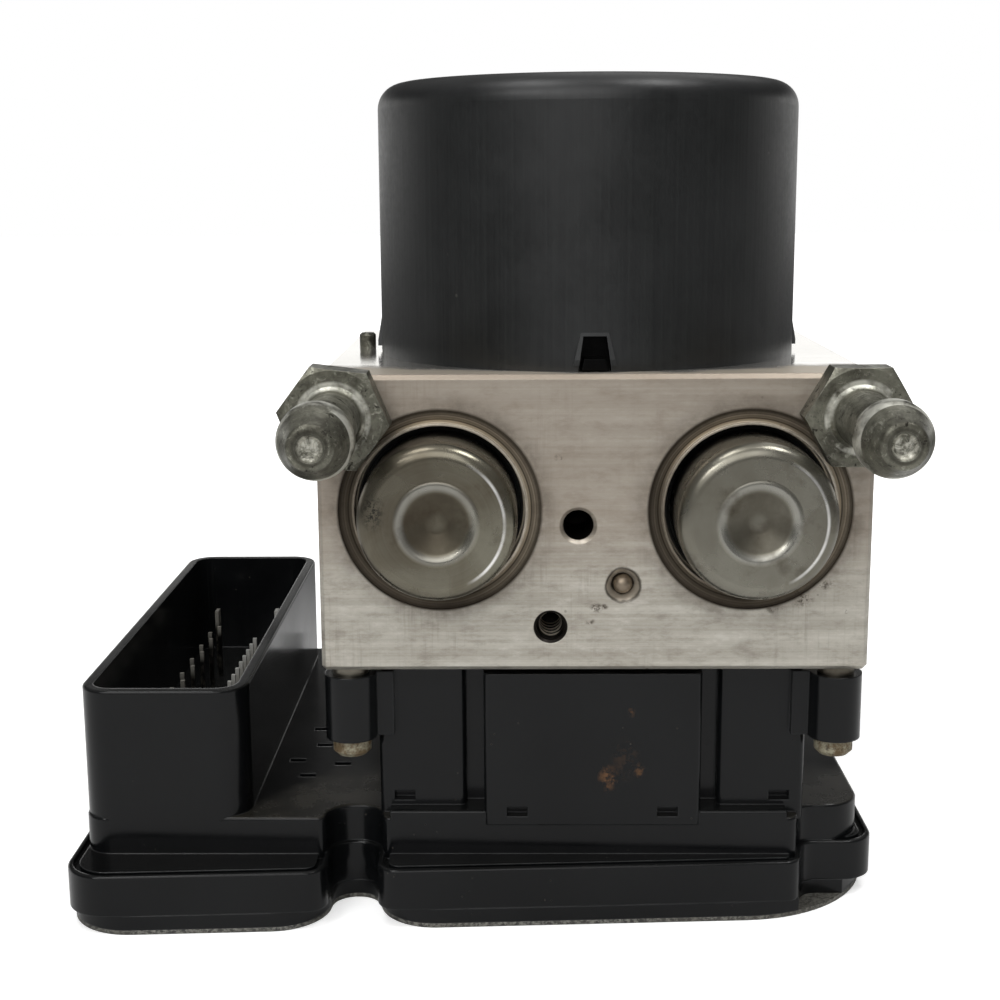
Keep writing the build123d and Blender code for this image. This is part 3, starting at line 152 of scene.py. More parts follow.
# ---- node building ----------------------------------------------------------------------
class Shade:
    """Builds one material's node tree."""

    def __init__(self, name, metal=0.0, specular=0.5):
        self.mat = bpy.data.materials.new(name)
        self.mat.use_nodes = True
        tree = self.mat.node_tree
        self.nodes = tree.nodes
        self.links = tree.links
        self.bsdf = next(n for n in self.nodes if n.type == "BSDF_PRINCIPLED")
        self.bsdf.inputs["Metallic"].default_value = metal
        self.bsdf.inputs["Specular IOR Level"].default_value = specular
        self.coord = self.nodes.new("ShaderNodeTexCoord").outputs["Object"]
        self.geometry = self.nodes.new("ShaderNodeNewGeometry")
        self.normal = None

    def put(self, value, socket):
        """Links a socket, or sets a plain value."""
        if isinstance(value, bpy.types.NodeSocket):
            self.links.new(value, socket)
        else:
            socket.default_value = value

    def scaled(self, scale):
        """Object coordinates times a scale per axis."""
        node = self.nodes.new("ShaderNodeMapping")
        self.links.new(self.coord, node.inputs["Vector"])
        node.inputs["Scale"].default_value = scale
        return node.outputs["Vector"]

    def noise(self, scale, detail=3.0, rough=0.55, vector=None, distortion=0.0):
        node = self.nodes.new("ShaderNodeTexNoise")
        self.links.new(vector or self.coord, node.inputs["Vector"])
        node.inputs["Scale"].default_value = scale
        node.inputs["Detail"].default_value = detail
        node.inputs["Roughness"].default_value = rough
        node.inputs["Distortion"].default_value = distortion
        return node.outputs["Fac"]

    def cells(self, scale, randomness=1.0):
        """Distance to the nearest of scattered points."""
        node = self.nodes.new("ShaderNodeTexVoronoi")
        self.links.new(self.coord, node.inputs["Vector"])
        node.inputs["Scale"].default_value = scale
        node.inputs["Randomness"].default_value = randomness
        return node.outputs["Distance"]

    def math(self, operation, a, b=0.0):
        node = self.nodes.new("ShaderNodeMath")
        node.operation = operation
        self.put(a, node.inputs[0])
        self.put(b, node.inputs[1])
        return node.outputs[0]

    def times(self, a, b):
        return self.math("MULTIPLY", a, b)

    def span(self, value, low, high, to_low=0.0, to_high=1.0, smooth=False):
        """Maps low..high to to_low..to_high, clamped."""
        node = self.nodes.new("ShaderNodeMapRange")
        node.interpolation_type = "SMOOTHSTEP" if smooth else "LINEAR"
        self.put(value, node.inputs["Value"])
        set_range(node, low, high, to_low, to_high)
        return node.outputs["Result"]

    def below(self, value, low, high):
        """1 under low, 0 over high."""
        return self.span(value, low, high, 1.0, 0.0)

    def band(self, value, rise, fall, smooth=False):
        """1 between two soft edges, each given by where it starts and ends."""
        return self.times(self.span(value, *rise, 0.0, 1.0, smooth), self.span(value, *fall, 1.0, 0.0, smooth))

    def mix(self, fac, a, b):
        """Colour a where fac is 0, b where it is 1."""
        node = self.nodes.new("ShaderNodeMix")
        node.data_type = "RGBA"
        self.put(fac, node.inputs[0])
        self.put(a, node.inputs[6])
        self.put(b, node.inputs[7])
        return node.outputs[2]

    def bump(self, height, distance, strength):
        """Adds relief to the shading normal, on top of what is there."""
        node = self.nodes.new("ShaderNodeBump")
        node.inputs["Strength"].default_value = strength
        node.inputs["Distance"].default_value = distance
        self.put(height, node.inputs["Height"])
        if self.normal is not None:
            self.links.new(self.normal, node.inputs["Normal"])
        self.normal = node.outputs["Normal"]
        return self

    def soft_edges(self, radius, samples=BEVEL_SAMPLES):
        """Rounds the shading normal over the edges by the given radius."""
        node = self.nodes.new("ShaderNodeBevel")
        node.samples = samples
        node.inputs["Radius"].default_value = radius
        if self.normal is not None:
            self.links.new(self.normal, node.inputs["Normal"])
        self.normal = node.outputs["Normal"]

    def edge_mask(self, radius):
        """1 on sharp edges, 0 on flat faces."""
        node = self.nodes.new("ShaderNodeBevel")
        node.samples = BEVEL_SAMPLES
        node.inputs["Radius"].default_value = radius
        dot = self.nodes.new("ShaderNodeVectorMath")
        dot.operation = "DOT_PRODUCT"
        self.links.new(node.outputs["Normal"], dot.inputs[0])
        self.links.new(self.geometry.outputs["Normal"], dot.inputs[1])
        return self.span(self.math("SUBTRACT", 1.0, dot.outputs["Value"]), *EDGE_TURN)

    def part(self, axis, vector=None):
        """One axis of the object coordinates or of another vector."""
        node = self.nodes.new("ShaderNodeSeparateXYZ")
        self.links.new(vector or self.coord, node.inputs[0])
        return node.outputs[axis]

    def facing_up(self):
        """1 on faces that look up, 0 on upright ones, -1 on those that look down."""
        return self.part(2, self.geometry.outputs["Normal"])

    def level(self):
        """1 on level faces, 0 on upright ones."""
        return self.math("ABSOLUTE", self.facing_up())

    def radius_from(self, centre, keep):
        """Distance from a line: keep holds the two axes that count."""
        node = self.nodes.new("ShaderNodeVectorMath")
        node.operation = "SUBTRACT"
        self.links.new(self.coord, node.inputs[0])
        node.inputs[1].default_value = centre
        flat = self.nodes.new("ShaderNodeVectorMath")
        flat.operation = "MULTIPLY"
        self.links.new(node.outputs[0], flat.inputs[0])
        flat.inputs[1].default_value = keep
        length = self.nodes.new("ShaderNodeVectorMath")
        length.operation = "LENGTH"
        self.links.new(flat.outputs[0], length.inputs[0])
        return length.outputs["Value"]

    def combine(self, x, y, z):
        node = self.nodes.new("ShaderNodeCombineXYZ")
        for value, socket in zip((x, y, z), node.inputs):
            self.put(value, socket)
        return node.outputs[0]

    def brushed(self, along, across, detail=4.0):
        """Fine lines along the horizontal on upright faces, and along X on level ones."""
        side = self.noise(1.0, detail, 0.65, self.scaled((along, along, across)))
        top = self.noise(1.0, detail, 0.65, self.scaled((along, across, along)))
        return self.mix(self.span(self.level(), 0.6, 0.8), side, top)

    def done(self, colour, rough):
        """Links colour, roughness and normal, and gives back the material."""
        self.put(colour, self.bsdf.inputs["Base Color"])
        self.put(rough, self.bsdf.inputs["Roughness"])
        if self.normal is not None:
            self.links.new(self.normal, self.bsdf.inputs["Normal"])
        return self.mat


def dress(material, *names):
    """Puts a material on carried-over CAD nodes."""
    for name in names:
        for slot in NODES[name].material_slots:
            slot.material = material


def centre_of(name):
    low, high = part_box(name)
    return (low + high) / 2


# ---- places on the part -------------------------------------------------------------------
CAPS = {side: centre_of("accumulator_cap_" + side) for side in ("left", "right")}
STUDS = {side: centre_of("mounting_stud_" + side) for side in ("left", "right")}
BLOCK_LOW, BLOCK_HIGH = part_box("valve_block")
STUD_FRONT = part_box("mounting_stud_left")[0][1]
FACE_KEEP = (1.0, 0.0, 1.0)
# place, reach and strength of each stain or mark
PANEL_STAINS = (((0.0028, -0.0410, 0.0264), 0.0022, 0.60), ((0.0086, -0.0410, 0.0279), 0.0013, 0.45),
                ((0.0071, -0.0410, 0.0391), 0.0009, 0.45), ((0.0058, -0.0410, 0.0300), 0.0036, 0.10))
# the deck band beside the shroud, painted lighter: partly dusty, partly painted light where the shroud's
# shadow ends; a corner of its edge, and the way across it
LIT_STRIP_CORNER = (-0.0668, -0.0376)
LIT_STRIP_NORMAL = (0.811, -0.585)
FACE_MARKS = (((0.0004, 0.0, 0.0596), 0.0011, 1.0), ((0.0017, 0.0, 0.0598), 0.0007, 0.9),
              ((-0.0008, 0.0, 0.0571), 0.0008, 0.8), ((0.0366, 0.0, 0.0612), 0.0022, 0.9),
              ((0.0320, 0.0, 0.0596), 0.0018, 0.7), ((0.0410, 0.0, 0.0640), 0.0016, 0.8),
              ((0.0446, 0.0, 0.0588), 0.0006, 1.0), ((-0.0062, 0.0, 0.0868), 0.0009, 0.6))
PLUG_AT = centre_of("ball_plug")
FACE_Y = BLOCK_LOW[1]
VENT_AT = (-0.0029, FACE_Y, BLOCK_LOW[2] + 0.0266)
TAPPED_AT = (-0.0078, FACE_Y, BLOCK_LOW[2] + 0.0081)
PIN_TIPS = 0.0320
PIN_ROWS_MIDDLE = -0.0770


# ---- materials --------------------------------------------------------------------------
def block_material():
    """Machined aluminium: level tool marks, browner and darker towards the top, ringed cap seats with painted
    shade and a painted highlight, the gap round the caps and the holes painted near black as shade, dirt, a
    bright top face.
    """
    s = Shade("machined_aluminium", metal=0.78)
    fine = s.brushed(14.0, 2600.0)
    coarse = s.brushed(6.0, 520.0, 3.0)
    blotch = s.noise(28.0, 5.0, 0.6)
    wide = s.noise(9.0, 3.0, 0.5, s.scaled((1, 1, 2.5)))
    base = s.mix(s.span(blotch, 0.35, 0.68), srgb(184, 180, 169), srgb(168, 162, 150))
    base = s.mix(s.span(fine, 0.25, 0.75, 0.0, 0.6), base, srgb(212, 209, 200))
    base = s.mix(s.span(coarse, 0.35, 0.75, 0.0, 0.45), base, srgb(134, 127, 116))
    upright = s.noise(1.0, 4.0, 0.65, s.scaled((1300.0, 1300.0, 60.0)))
    patchy = s.span(s.noise(75.0, 4.0, 0.6), 0.45, 0.62, 0.0, 0.45)
    base = s.mix(s.times(s.span(upright, 0.5, 0.75), patchy), base, srgb(118, 109, 98))
    mottle = s.noise(340.0, 6.0, 0.75, s.scaled((0.35, 1.0, 1.0)))
    base = s.mix(s.span(mottle, 0.50, 0.66, 0.0, 0.40), base, srgb(108, 98, 86))
    base = s.mix(s.span(mottle, 0.34, 0.46, 0.35, 0.0), base, srgb(218, 215, 207))
    # browner and darker towards the top of the block
    high = s.span(s.part(2), 0.058, 0.078, 0.0, 1.0, True)
    darker_top = s.times(high, s.span(wide, 0.3, 0.7, 0.6, 1.0))
    base = s.mix(s.times(darker_top, 0.7), base, srgb(152, 138, 124))
    front = s.below(s.part(1), -0.0435, -0.0425)
    near_front = s.below(s.part(1), -0.036, -0.0355)
    ragged = s.span(s.noise(120.0, 6.0, 0.7), 0.36, 0.64)
    drift = s.span(s.noise(46.0, 4.0, 0.6), 0.35, 0.65)
    dirt = None
    for side, centre in CAPS.items():
        away = s.radius_from(centre, FACE_KEEP)
        ring = s.span(away, *SEAT_DIRT, 1.0, 0.0, True)
        dirt = ring if dirt is None else s.math("MAXIMUM", dirt, ring)
        turned = s.noise(1.0, 4.0, 0.6, s.combine(s.times(away, 4200.0), 0.4, 0.2))
        seat = s.times(s.below(away, *SEAT_EDGE), near_front)
        right_of = s.math("SUBTRACT", s.part(0), centre[0])
        above = s.math("SUBTRACT", s.part(2), centre[2])
        # lit runs from the lower left to the upper right of each cap; it drives painted shade on the land and
        # a painted highlight on the inner lip
        lit = s.span(s.math("ADD", right_of, above), -0.016, 0.012)
        land = s.mix(s.span(turned, 0.35, 0.65), srgb(216, 203, 182), srgb(140, 128, 111))
        land = s.mix(s.times(drift, 0.35), land, srgb(112, 101, 88))
        # painted shade: the land is darkened towards the lower left
        land = s.mix(s.span(lit, 0.0, 1.0, 0.72, 0.0), land, srgb(70, 63, 54))
        base = s.mix(seat, base, land)
        line = s.band(away, *SEAT_OUTER_LINE)
        inner_line = s.band(away, *SEAT_INNER_LINE)
        line = s.times(s.math("MAXIMUM", line, inner_line), near_front)
        base = s.mix(s.times(line, 0.7), base, srgb(48, 42, 36))
        # painted highlight: the inner lip is lightened towards the upper right
        lip = s.band(away, *SEAT_LIP)
        lip = s.times(s.times(lip, near_front), s.span(lit, 0.0, 1.0, 0.10, 0.85))
        base = s.mix(lip, base, srgb(214, 205, 189))
        # painted shade: the gap between the seat and the cap is coloured near black
        well_shade = s.times(s.below(away, *SEAT_WELL), near_front)
        base = s.mix(well_shade, base, srgb(14, 13, 11))
    dirt = s.times(s.times(dirt, front), s.times(ragged, 0.5))
    for at, reach, strength in FACE_MARKS:
        away = s.radius_from(Vector(at), (0.7, 0.0, 1.0))
        torn = s.span(s.noise(640.0, 6.0, 0.75), 0.46, 0.58)
        mark = s.times(s.span(away, reach * 0.3, reach, strength, 0.0, True), torn)
        dirt = s.math("MAXIMUM", dirt, s.times(mark, front))
    base = s.mix(dirt, base, srgb(70, 60, 50))
    plug = s.radius_from(PLUG_AT, FACE_KEEP)
    wobble = s.math("ADD", plug, s.span(s.noise(420.0, 3.0), 0.3, 0.7, -0.00018, 0.00018))
    rim = s.band(wobble, *PLUG_RIM)
    rim = s.math("MAXIMUM", s.times(rim, 0.75), s.span(wobble, *PLUG_BALL, 0.9, 0.0))
    base = s.mix(s.times(s.span(plug, *PLUG_SEAT, 0.8, 0.0), near_front), base, srgb(186, 178, 164))
    base = s.mix(s.times(rim, near_front), base, srgb(52, 44, 37))
    specks = s.span(s.cells(330.0), 0.06, 0.12, 1.0, 0.0)
    sparse = s.span(s.noise(70.0, 2.0), 0.60, 0.66)
    specks = s.times(s.times(specks, sparse), 0.8)
    base = s.mix(specks, base, srgb(48, 40, 34))
    # painted shade: the inside of the vent hole and the mouth of the tapped hole are coloured near black
    inside = s.span(s.part(1), FACE_Y + 0.0006, FACE_Y + 0.0010)
    vent = s.times(s.below(s.radius_from(VENT_AT, FACE_KEEP), *VENT_EDGE), inside)
    mouth = s.span(s.part(1), FACE_Y + 0.00003, FACE_Y + 0.0001)
    tapped = s.times(s.below(s.radius_from(TAPPED_AT, FACE_KEEP), *TAPPED_EDGE), mouth)
    base = s.mix(s.math("MAXIMUM", vent, tapped), base, srgb(30, 26, 22))
    rough = s.span(fine, 0.2, 0.8, 0.34, 0.50)
    rough = s.math("ADD", rough, s.times(s.math("MAXIMUM", dirt, specks), 0.3))
    across = s.times(s.part(0), 1.0 / LEDGE_HALF_WIDTH)
    bow = s.math("MINIMUM", s.times(across, across), 1.0)
    behind = s.math("SUBTRACT", s.part(1), s.math("ADD", s.times(bow, LEDGE_BOW), LEDGE_MIDDLE_Y))
    behind = s.math("ADD", behind, s.span(s.noise(90.0, 4.0), 0.3, 0.7, -0.0022, 0.0022))
    top = s.times(s.span(s.facing_up(), *FACES_UP), s.span(s.part(2), *BLOCK_TOP_LEVEL))
    bright = s.times(top, s.span(behind, *LEDGE_FADE, 0.0, 1.0, True))
    ledge = s.times(top, s.span(behind, *LEDGE_FADE, 1.0, 0.0, True))
    base = s.mix(s.times(ledge, 0.85), base, srgb(222, 211, 194))
    chamfer = s.band(s.facing_up(), (0.3, 0.6), FACES_UP)
    chamfer = s.times(chamfer, s.span(s.part(2), BLOCK_HIGH[2] - 0.0016, BLOCK_HIGH[2] - 0.0012))
    base = s.mix(s.times(chamfer, 0.7), base, srgb(140, 129, 116))
    base = s.mix(bright, base, s.mix(s.span(blotch, 0.35, 0.7), srgb(240, 238, 233), srgb(222, 219, 212)))
    rough = s.mix(bright, rough, s.span(fine, 0.2, 0.8, 0.10, 0.17))
    s.put(s.span(bright, 0.0, 1.0, 0.78, 0.92), s.bsdf.inputs["Metallic"])
    s.bump(s.times(fine, s.span(bright, 0.0, 1.0, 1.0, 0.25)), 0.00002, 0.55)
    s.bump(s.times(coarse, s.span(bright, 0.0, 1.0, 1.0, 0.0)), 0.00005, 0.35)
    s.bump(specks, -0.00008, 0.5)
    s.soft_edges(0.00025)
    return s.done(base, rough)


def can_material():
    """Satin black paint on drawn steel: faint upright draw marks and soft blotches."""
    s = Shade("can_black_paint", specular=0.40)
    x, y = s.part(0), s.part(1)
    angle = s.math("ARCTAN2", y, x)
    streak_at = s.combine(s.times(angle, 55.0), 0.0, s.times(s.part(2), 14.0))
    streak = s.noise(1.0, 5.0, 0.62, streak_at)
    on_side = s.span(s.level(), 0.2, 0.7, 1.0, 0.0)
    streak = s.times(streak, on_side)
    blotch = s.noise(42.0, 5.0, 0.6)
    dots = s.noise(900.0, 2.0, 0.5)
    base = s.mix(s.span(blotch, 0.35, 0.7), srgb(10, 11, 12), srgb(22, 23, 24))
    base = s.mix(s.span(streak, 0.35, 0.75, 0.0, 0.5), base, srgb(34, 36, 35))
    wear = s.times(s.span(s.cells(260.0), 0.05, 0.10, 1.0, 0.0), s.span(s.noise(60.0), 0.62, 0.68))
    base = s.mix(s.times(wear, 0.6), base, srgb(96, 94, 88))
    rough = s.math("ADD", s.span(blotch, 0.3, 0.7, 0.30, 0.42), s.span(dots, 0.3, 0.7, 0.0, 0.06))
    s.bump(streak, 0.00006, 0.35).bump(dots, 0.00002, 0.25).bump(blotch, 0.0004, 0.12)
    return s.done(base, rough)


def housing_material():
    """Black glass-filled moulding: fine grain, scuffs on edges, dusty level faces, and a band of the deck
    beside the shroud painted lighter, partly dusty and partly as painted light where the shroud's shadow ends.
    """
    s = Shade("housing_moulding", specular=0.22)
    grain = s.noise(3200.0, 2.0, 0.6)
    flow = s.noise(34.0, 5.0, 0.6)
    base = s.mix(s.span(flow, 0.35, 0.7), srgb(8, 9, 10), srgb(16, 17, 18))
    up = s.span(s.facing_up(), 0.5, 0.9)
    dust_and_light = s.span(s.noise(150.0, 6.0, 0.7), 0.42, 0.72)
    level = s.part(2)
    on_deck = s.band(level, *DECK_LEVEL)
    # painted light: the deck band in front of the shroud's shadow edge takes far more of the dusty colour,
    # standing in for light; elsewhere level faces keep a thin dusty coat
    run = s.times(s.math("SUBTRACT", s.part(0), LIT_STRIP_CORNER[0]), LIT_STRIP_NORMAL[0])
    run = s.math("ADD", run, s.times(s.math("SUBTRACT", s.part(1), LIT_STRIP_CORNER[1]), LIT_STRIP_NORMAL[1]))
    lit_strip = s.times(s.span(run, -0.0015, 0.0015), s.below(s.part(1), -0.020, -0.012))
    dust_and_light_amount = s.math("ADD", s.times(s.times(lit_strip, on_deck), 0.13), 0.015)
    dust_and_light = s.times(s.times(s.math("ADD", s.times(dust_and_light, 0.6), 0.4), up), dust_and_light_amount)
    base = s.mix(dust_and_light, base, srgb(118, 112, 98))
    specks = s.times(s.span(s.cells(520.0), 0.05, 0.09, 1.0, 0.0), s.span(s.noise(90.0), 0.56, 0.64))
    base = s.mix(s.times(specks, 0.3), base, srgb(104, 98, 88))
    edge = s.times(s.edge_mask(0.0005), s.span(s.noise(180.0, 4.0), 0.35, 0.65, 0.05, 0.5))
    base = s.mix(edge, base, srgb(62, 63, 64))
    base = panel_stains(s, base)
    rough = s.math("ADD", s.span(flow, 0.3, 0.7, 0.14, 0.24), s.times(dust_and_light, 0.9))
    s.bump(grain, 0.000008, 0.30).bump(flow, 0.0002, 0.10)
    s.soft_edges(0.0004)
    return s.done(base, rough)


def panel_stains(s, base):
    """Rust-brown smears on the centre panel."""
    for at, reach, strength in PANEL_STAINS:
        away = s.radius_from(Vector(at), (1.0, 0.6, 0.7))
        ragged = s.span(s.noise(620.0, 6.0, 0.75), 0.47, 0.60)
        spot = s.times(s.span(away, reach * 0.2, reach, 1.0, 0.0, True), ragged)
        base = s.mix(s.times(spot, strength), base, srgb(120, 84, 52))
    return base


def cap_material(name, centre, light, dark, crusted):
    """Drawn zinc-plated cap: turned sheen, a pale bead round a darkened dish, brown stains; the bead is partly
    wear and partly painted highlight, the dish's darkening is painted shade, a painted highlight runs on the
    right of the rim, and the part near the block is painted black as shade.
    """
    s = Shade(name, metal=0.92)
    away = s.radius_from(centre, FACE_KEEP)
    rings = s.noise(1.0, 3.0, 0.6, s.combine(s.times(away, 2600.0), 0.3, 0.7))
    cloud = s.noise(95.0, 4.0, 0.55, distortion=0.4)
    base = s.mix(s.span(cloud, 0.35, 0.68), light, dark)
    base = s.mix(s.span(rings, 0.3, 0.7, 0.0, 0.12), base, srgb(150, 148, 140))
    # painted shade: the dish is coloured darker, unevenly
    dish = s.span(away, *CAP_DISH, 1.0, 0.0, True)
    dish_shade_mottle = s.span(s.noise(300.0, 4.0, 0.6), 0.3, 0.7, 0.65, 1.0)
    base = s.mix(s.times(dish, dish_shade_mottle), base, s.mix(0.6, dark, srgb(38, 36, 29)))
    centre_spot = s.span(away, 0.0004, 0.0022, 0.55, 0.0, True)
    base = s.mix(centre_spot, base, light)
    wander = s.noise(24.0, 2.0, 0.5, s.scaled((1.0, 1.0, 0.35)))
    base = s.mix(s.span(wander, 0.40, 0.60, 0.0, 0.45), base, srgb(70, 62, 52))
    right_of = s.math("SUBTRACT", s.part(0), centre[0])
    # painted highlight: a bright band on the rim, on the right side only
    shine = s.band(away, *CAP_RIM_HIGHLIGHT, True)
    shine = s.times(shine, s.span(right_of, 0.0050, 0.0085, 0.0, 0.85))
    shine = s.times(shine, s.span(s.noise(130.0, 3.0), 0.35, 0.6, 0.35, 1.0))
    corner = (centre[0] - 0.0108, centre[1], centre[2] + 0.0022)
    crust = s.span(s.radius_from(corner, (1.0, 0.0, 0.6)), 0.0006, 0.0024, 1.0, 0.0)
    crust = s.times(crust, s.span(s.noise(900.0, 5.0, 0.8), 0.46, 0.56, 0.0, crusted))
    base = s.mix(crust, base, srgb(40, 40, 38))
    # pale bead ring: partly wear, partly painted highlight
    bead = s.band(away, *CAP_BEAD, True)
    worn_and_highlight = s.span(s.noise(80.0, 3.0), 0.3, 0.7, 0.45, 0.95)
    base = s.mix(s.times(bead, worn_and_highlight), base, srgb(150, 149, 142))
    stain = s.times(s.span(s.noise(170.0, 5.0, 0.65), 0.56, 0.70), 0.4)
    base = s.mix(stain, base, srgb(66, 57, 46))
    rough = s.math("ADD", s.span(cloud, 0.3, 0.7, 0.22, 0.34), s.times(stain, 0.25))
    rough = s.math("ADD", rough, s.times(dish, 0.14))
    # painted highlight: the near-white arc on the right of the rim
    base = s.mix(shine, base, srgb(250, 249, 246))
    # painted shade: the part of the cap near the block face, deep in the seat, is coloured near black
    base = s.mix(s.span(s.part(1), FACE_Y - 0.0042, FACE_Y - 0.0016), base, srgb(14, 14, 12))
    s.bump(rings, 0.000010, 0.4).bump(bead, 0.00022, 0.8)
    return s.done(base, rough)


def stud_material():
    """Grey-green zinc with dark pits, pale bloom and a painted highlight ring where the pin meets the hexagon.
    """
    s = Shade("stud_zinc", metal=0.66)
    cloud = s.noise(230.0, 6.0, 0.7)
    bloom = s.noise(560.0, 6.0, 0.78, distortion=0.9)
    base = s.mix(s.span(cloud, 0.38, 0.62), srgb(116, 115, 103), srgb(68, 66, 57))
    base = s.mix(s.span(bloom, 0.56, 0.68, 0.0, 0.65), base, srgb(178, 178, 164))
    small = s.span(s.noise(1000.0, 5.0, 0.8), 0.58, 0.65)
    large = s.span(s.noise(480.0, 5.0, 0.7), 0.60, 0.65)
    pits = s.math("MAXIMUM", small, large)
    patch = s.span(s.noise(170.0, 3.0, 0.6), 0.44, 0.56, 0.1, 1.0)
    pits = s.times(pits, patch)
    base = s.mix(pits, base, srgb(38, 35, 28))
    near_face = s.span(s.part(1), STUD_FRONT + 0.005, STUD_FRONT + 0.0052)
    rough = s.math("ADD", s.span(cloud, 0.3, 0.7, 0.30, 0.48), s.times(pits, 0.3))
    for centre in STUDS.values():
        away = s.radius_from(centre, FACE_KEEP)
        # painted highlight: a broken bright ring round the neck where the pin meets the hexagon
        ring = s.band(away, *STUD_NECK_HIGHLIGHT)
        broken = s.span(s.noise(260.0, 4.0), 0.38, 0.58, 0.0, 0.8)
        ring = s.times(s.times(ring, near_face), broken)
        base = s.mix(ring, base, srgb(220, 219, 208))
        pocket = s.times(s.below(away, *STUD_POCKET), s.span(bloom, 0.42, 0.58))
        base = s.mix(s.times(pocket, 0.8), base, srgb(206, 204, 192))
        halo = s.band(away, *STUD_HALO)
        base = s.mix(s.times(halo, 0.55), base, srgb(46, 43, 36))
    edge = s.edge_mask(0.0004)
    base = s.mix(s.times(edge, s.span(bloom, 0.4, 0.6, 0.1, 0.6)), base, srgb(180, 180, 168))
    s.bump(bloom, 0.00008, 0.6).bump(pits, -0.00012, 0.7)
    s.soft_edges(0.0002)
    return s.done(base, rough)


def plate_material():
    """Grey sheet with a dense dark speckle."""
    s = Shade("cover_sheet", metal=0.55)
    speck = s.noise(1500.0, 4.0, 0.8)
    wide = s.noise(60.0, 4.0, 0.6)
    base = s.mix(s.span(speck, 0.44, 0.58), srgb(58, 58, 56), srgb(134, 133, 126))
    base = s.mix(s.span(wide, 0.4, 0.7, 0.0, 0.5), base, srgb(84, 80, 72))
    rough = s.span(speck, 0.3, 0.7, 0.42, 0.62)
    s.bump(speck, 0.00004, 0.5)
    s.soft_edges(0.0003)
    return s.done(base, rough)


def steel_material(name, light, dark, rough_low=0.22, rough_high=0.4, grain=700.0, metal=1.0):
    """Plain steel with faint grain, colour drift and edge shine."""
    s = Shade(name, metal=metal)
    fine = s.brushed(30.0, grain * 3)
    cloud = s.noise(grain / 5, 5.0, 0.6)
    base = s.mix(s.span(cloud, 0.35, 0.7), light, dark)
    base = s.mix(s.span(fine, 0.3, 0.8, 0.0, 0.25), base, dark)
    rough = s.span(cloud, 0.3, 0.7, rough_low, rough_high)
    s.bump(fine, 0.00001, 0.4)
    s.soft_edges(0.0001, 4)
    return s.done(base, rough)


def pin_material():
    """Tinned contacts: bright tips, shafts darkened below them as painted shade, and the row that stands in
    the shroud's shadow painted darker still.
    """
    s = Shade("contact_tin", metal=0.8)
    cloud = s.noise(600.0, 4.0, 0.6)
    tip = s.span(s.part(2), PIN_TIPS - 0.0024, PIN_TIPS - 0.0006)
    # painted shade: shafts darker than the tips, much darker in the row deep in the shroud
    shade_row = s.span(s.part(0), PIN_ROWS_MIDDLE - 0.001, PIN_ROWS_MIDDLE + 0.001, 1.0, 0.0)
    shaft = s.mix(shade_row, srgb(200, 198, 190), srgb(16, 15, 14))
    bright = s.mix(shade_row, srgb(232, 231, 226), srgb(170, 167, 158))
    base = s.mix(tip, shaft, bright)
    base = s.mix(s.span(cloud, 0.45, 0.7, 0.0, 0.4), base, srgb(120, 116, 106))
    s.bump(cloud, 0.00003, 0.5)
    return s.done(base, s.span(cloud, 0.3, 0.7, 0.30, 0.46))


def thread_material():
    """Cut thread: bright crests, roots painted black as shade."""
    s = Shade("cut_thread", metal=0.75)
    away = s.radius_from(TAPPED_AT, FACE_KEEP)
    cloud = s.noise(800.0, 4.0, 0.6)
    # painted shade: the roots of the thread are coloured near black, the crests bright
    base = s.mix(s.span(away, 0.00200, 0.00214), srgb(226, 216, 200), srgb(14, 12, 10))
    base = s.mix(s.span(cloud, 0.45, 0.7, 0.0, 0.4), base, srgb(70, 62, 52))
    s.bump(cloud, 0.00003, 0.5)
    return s.done(base, s.span(cloud, 0.3, 0.7, 0.32, 0.48))


def rusty_material():
    """Screw heads: zinc broken through by rust."""
    s = Shade("rusty_screw", metal=0.35)
    rust = s.noise(420.0, 6.0, 0.75)
    fleck = s.noise(1400.0, 4.0, 0.7)
    base = s.mix(s.span(rust, 0.40, 0.56), srgb(150, 146, 126), srgb(98, 82, 58))
    base = s.mix(s.span(fleck, 0.54, 0.66, 0.0, 0.85), base, srgb(50, 40, 28))
    rough = s.span(rust, 0.35, 0.6, 0.42, 0.8)
    s.bump(rust, 0.0001, 0.6).bump(fleck, 0.00004, 0.6)
    return s.done(base, rough)


def plastic_material(name, light, dark, rough_low=0.35, rough_high=0.55, scale=300.0, specular=0.4):
    """Moulded plastic or rubber with grain and slow colour drift."""
    s = Shade(name, specular=specular)
    drift = s.noise(scale / 4, 4.0, 0.6)
    grain = s.noise(scale * 8, 2.0, 0.6)
    base = s.mix(s.span(drift, 0.35, 0.7), light, dark)
    rough = s.span(grain, 0.3, 0.7, rough_low, rough_high)
    s.bump(grain, 0.00002, 0.4)
    return s.done(base, rough)


def lamination_material():
    """Stack of thin sheets seen edge on."""
    s = Shade("core_laminations", metal=0.9)
    wave = s.math("SINE", s.times(s.part(2), 2 * math.pi / LAMINATION_PITCH))
    cloud = s.noise(140.0, 4.0)
    base = s.mix(s.span(wave, -0.6, 0.6), srgb(70, 70, 72), srgb(140, 140, 140))
    base = s.mix(s.span(cloud, 0.4, 0.7, 0.0, 0.4), base, srgb(96, 84, 70))
    s.bump(wave, 0.00004, 0.5)
    return s.done(base, s.span(cloud, 0.3, 0.7, 0.32, 0.48))


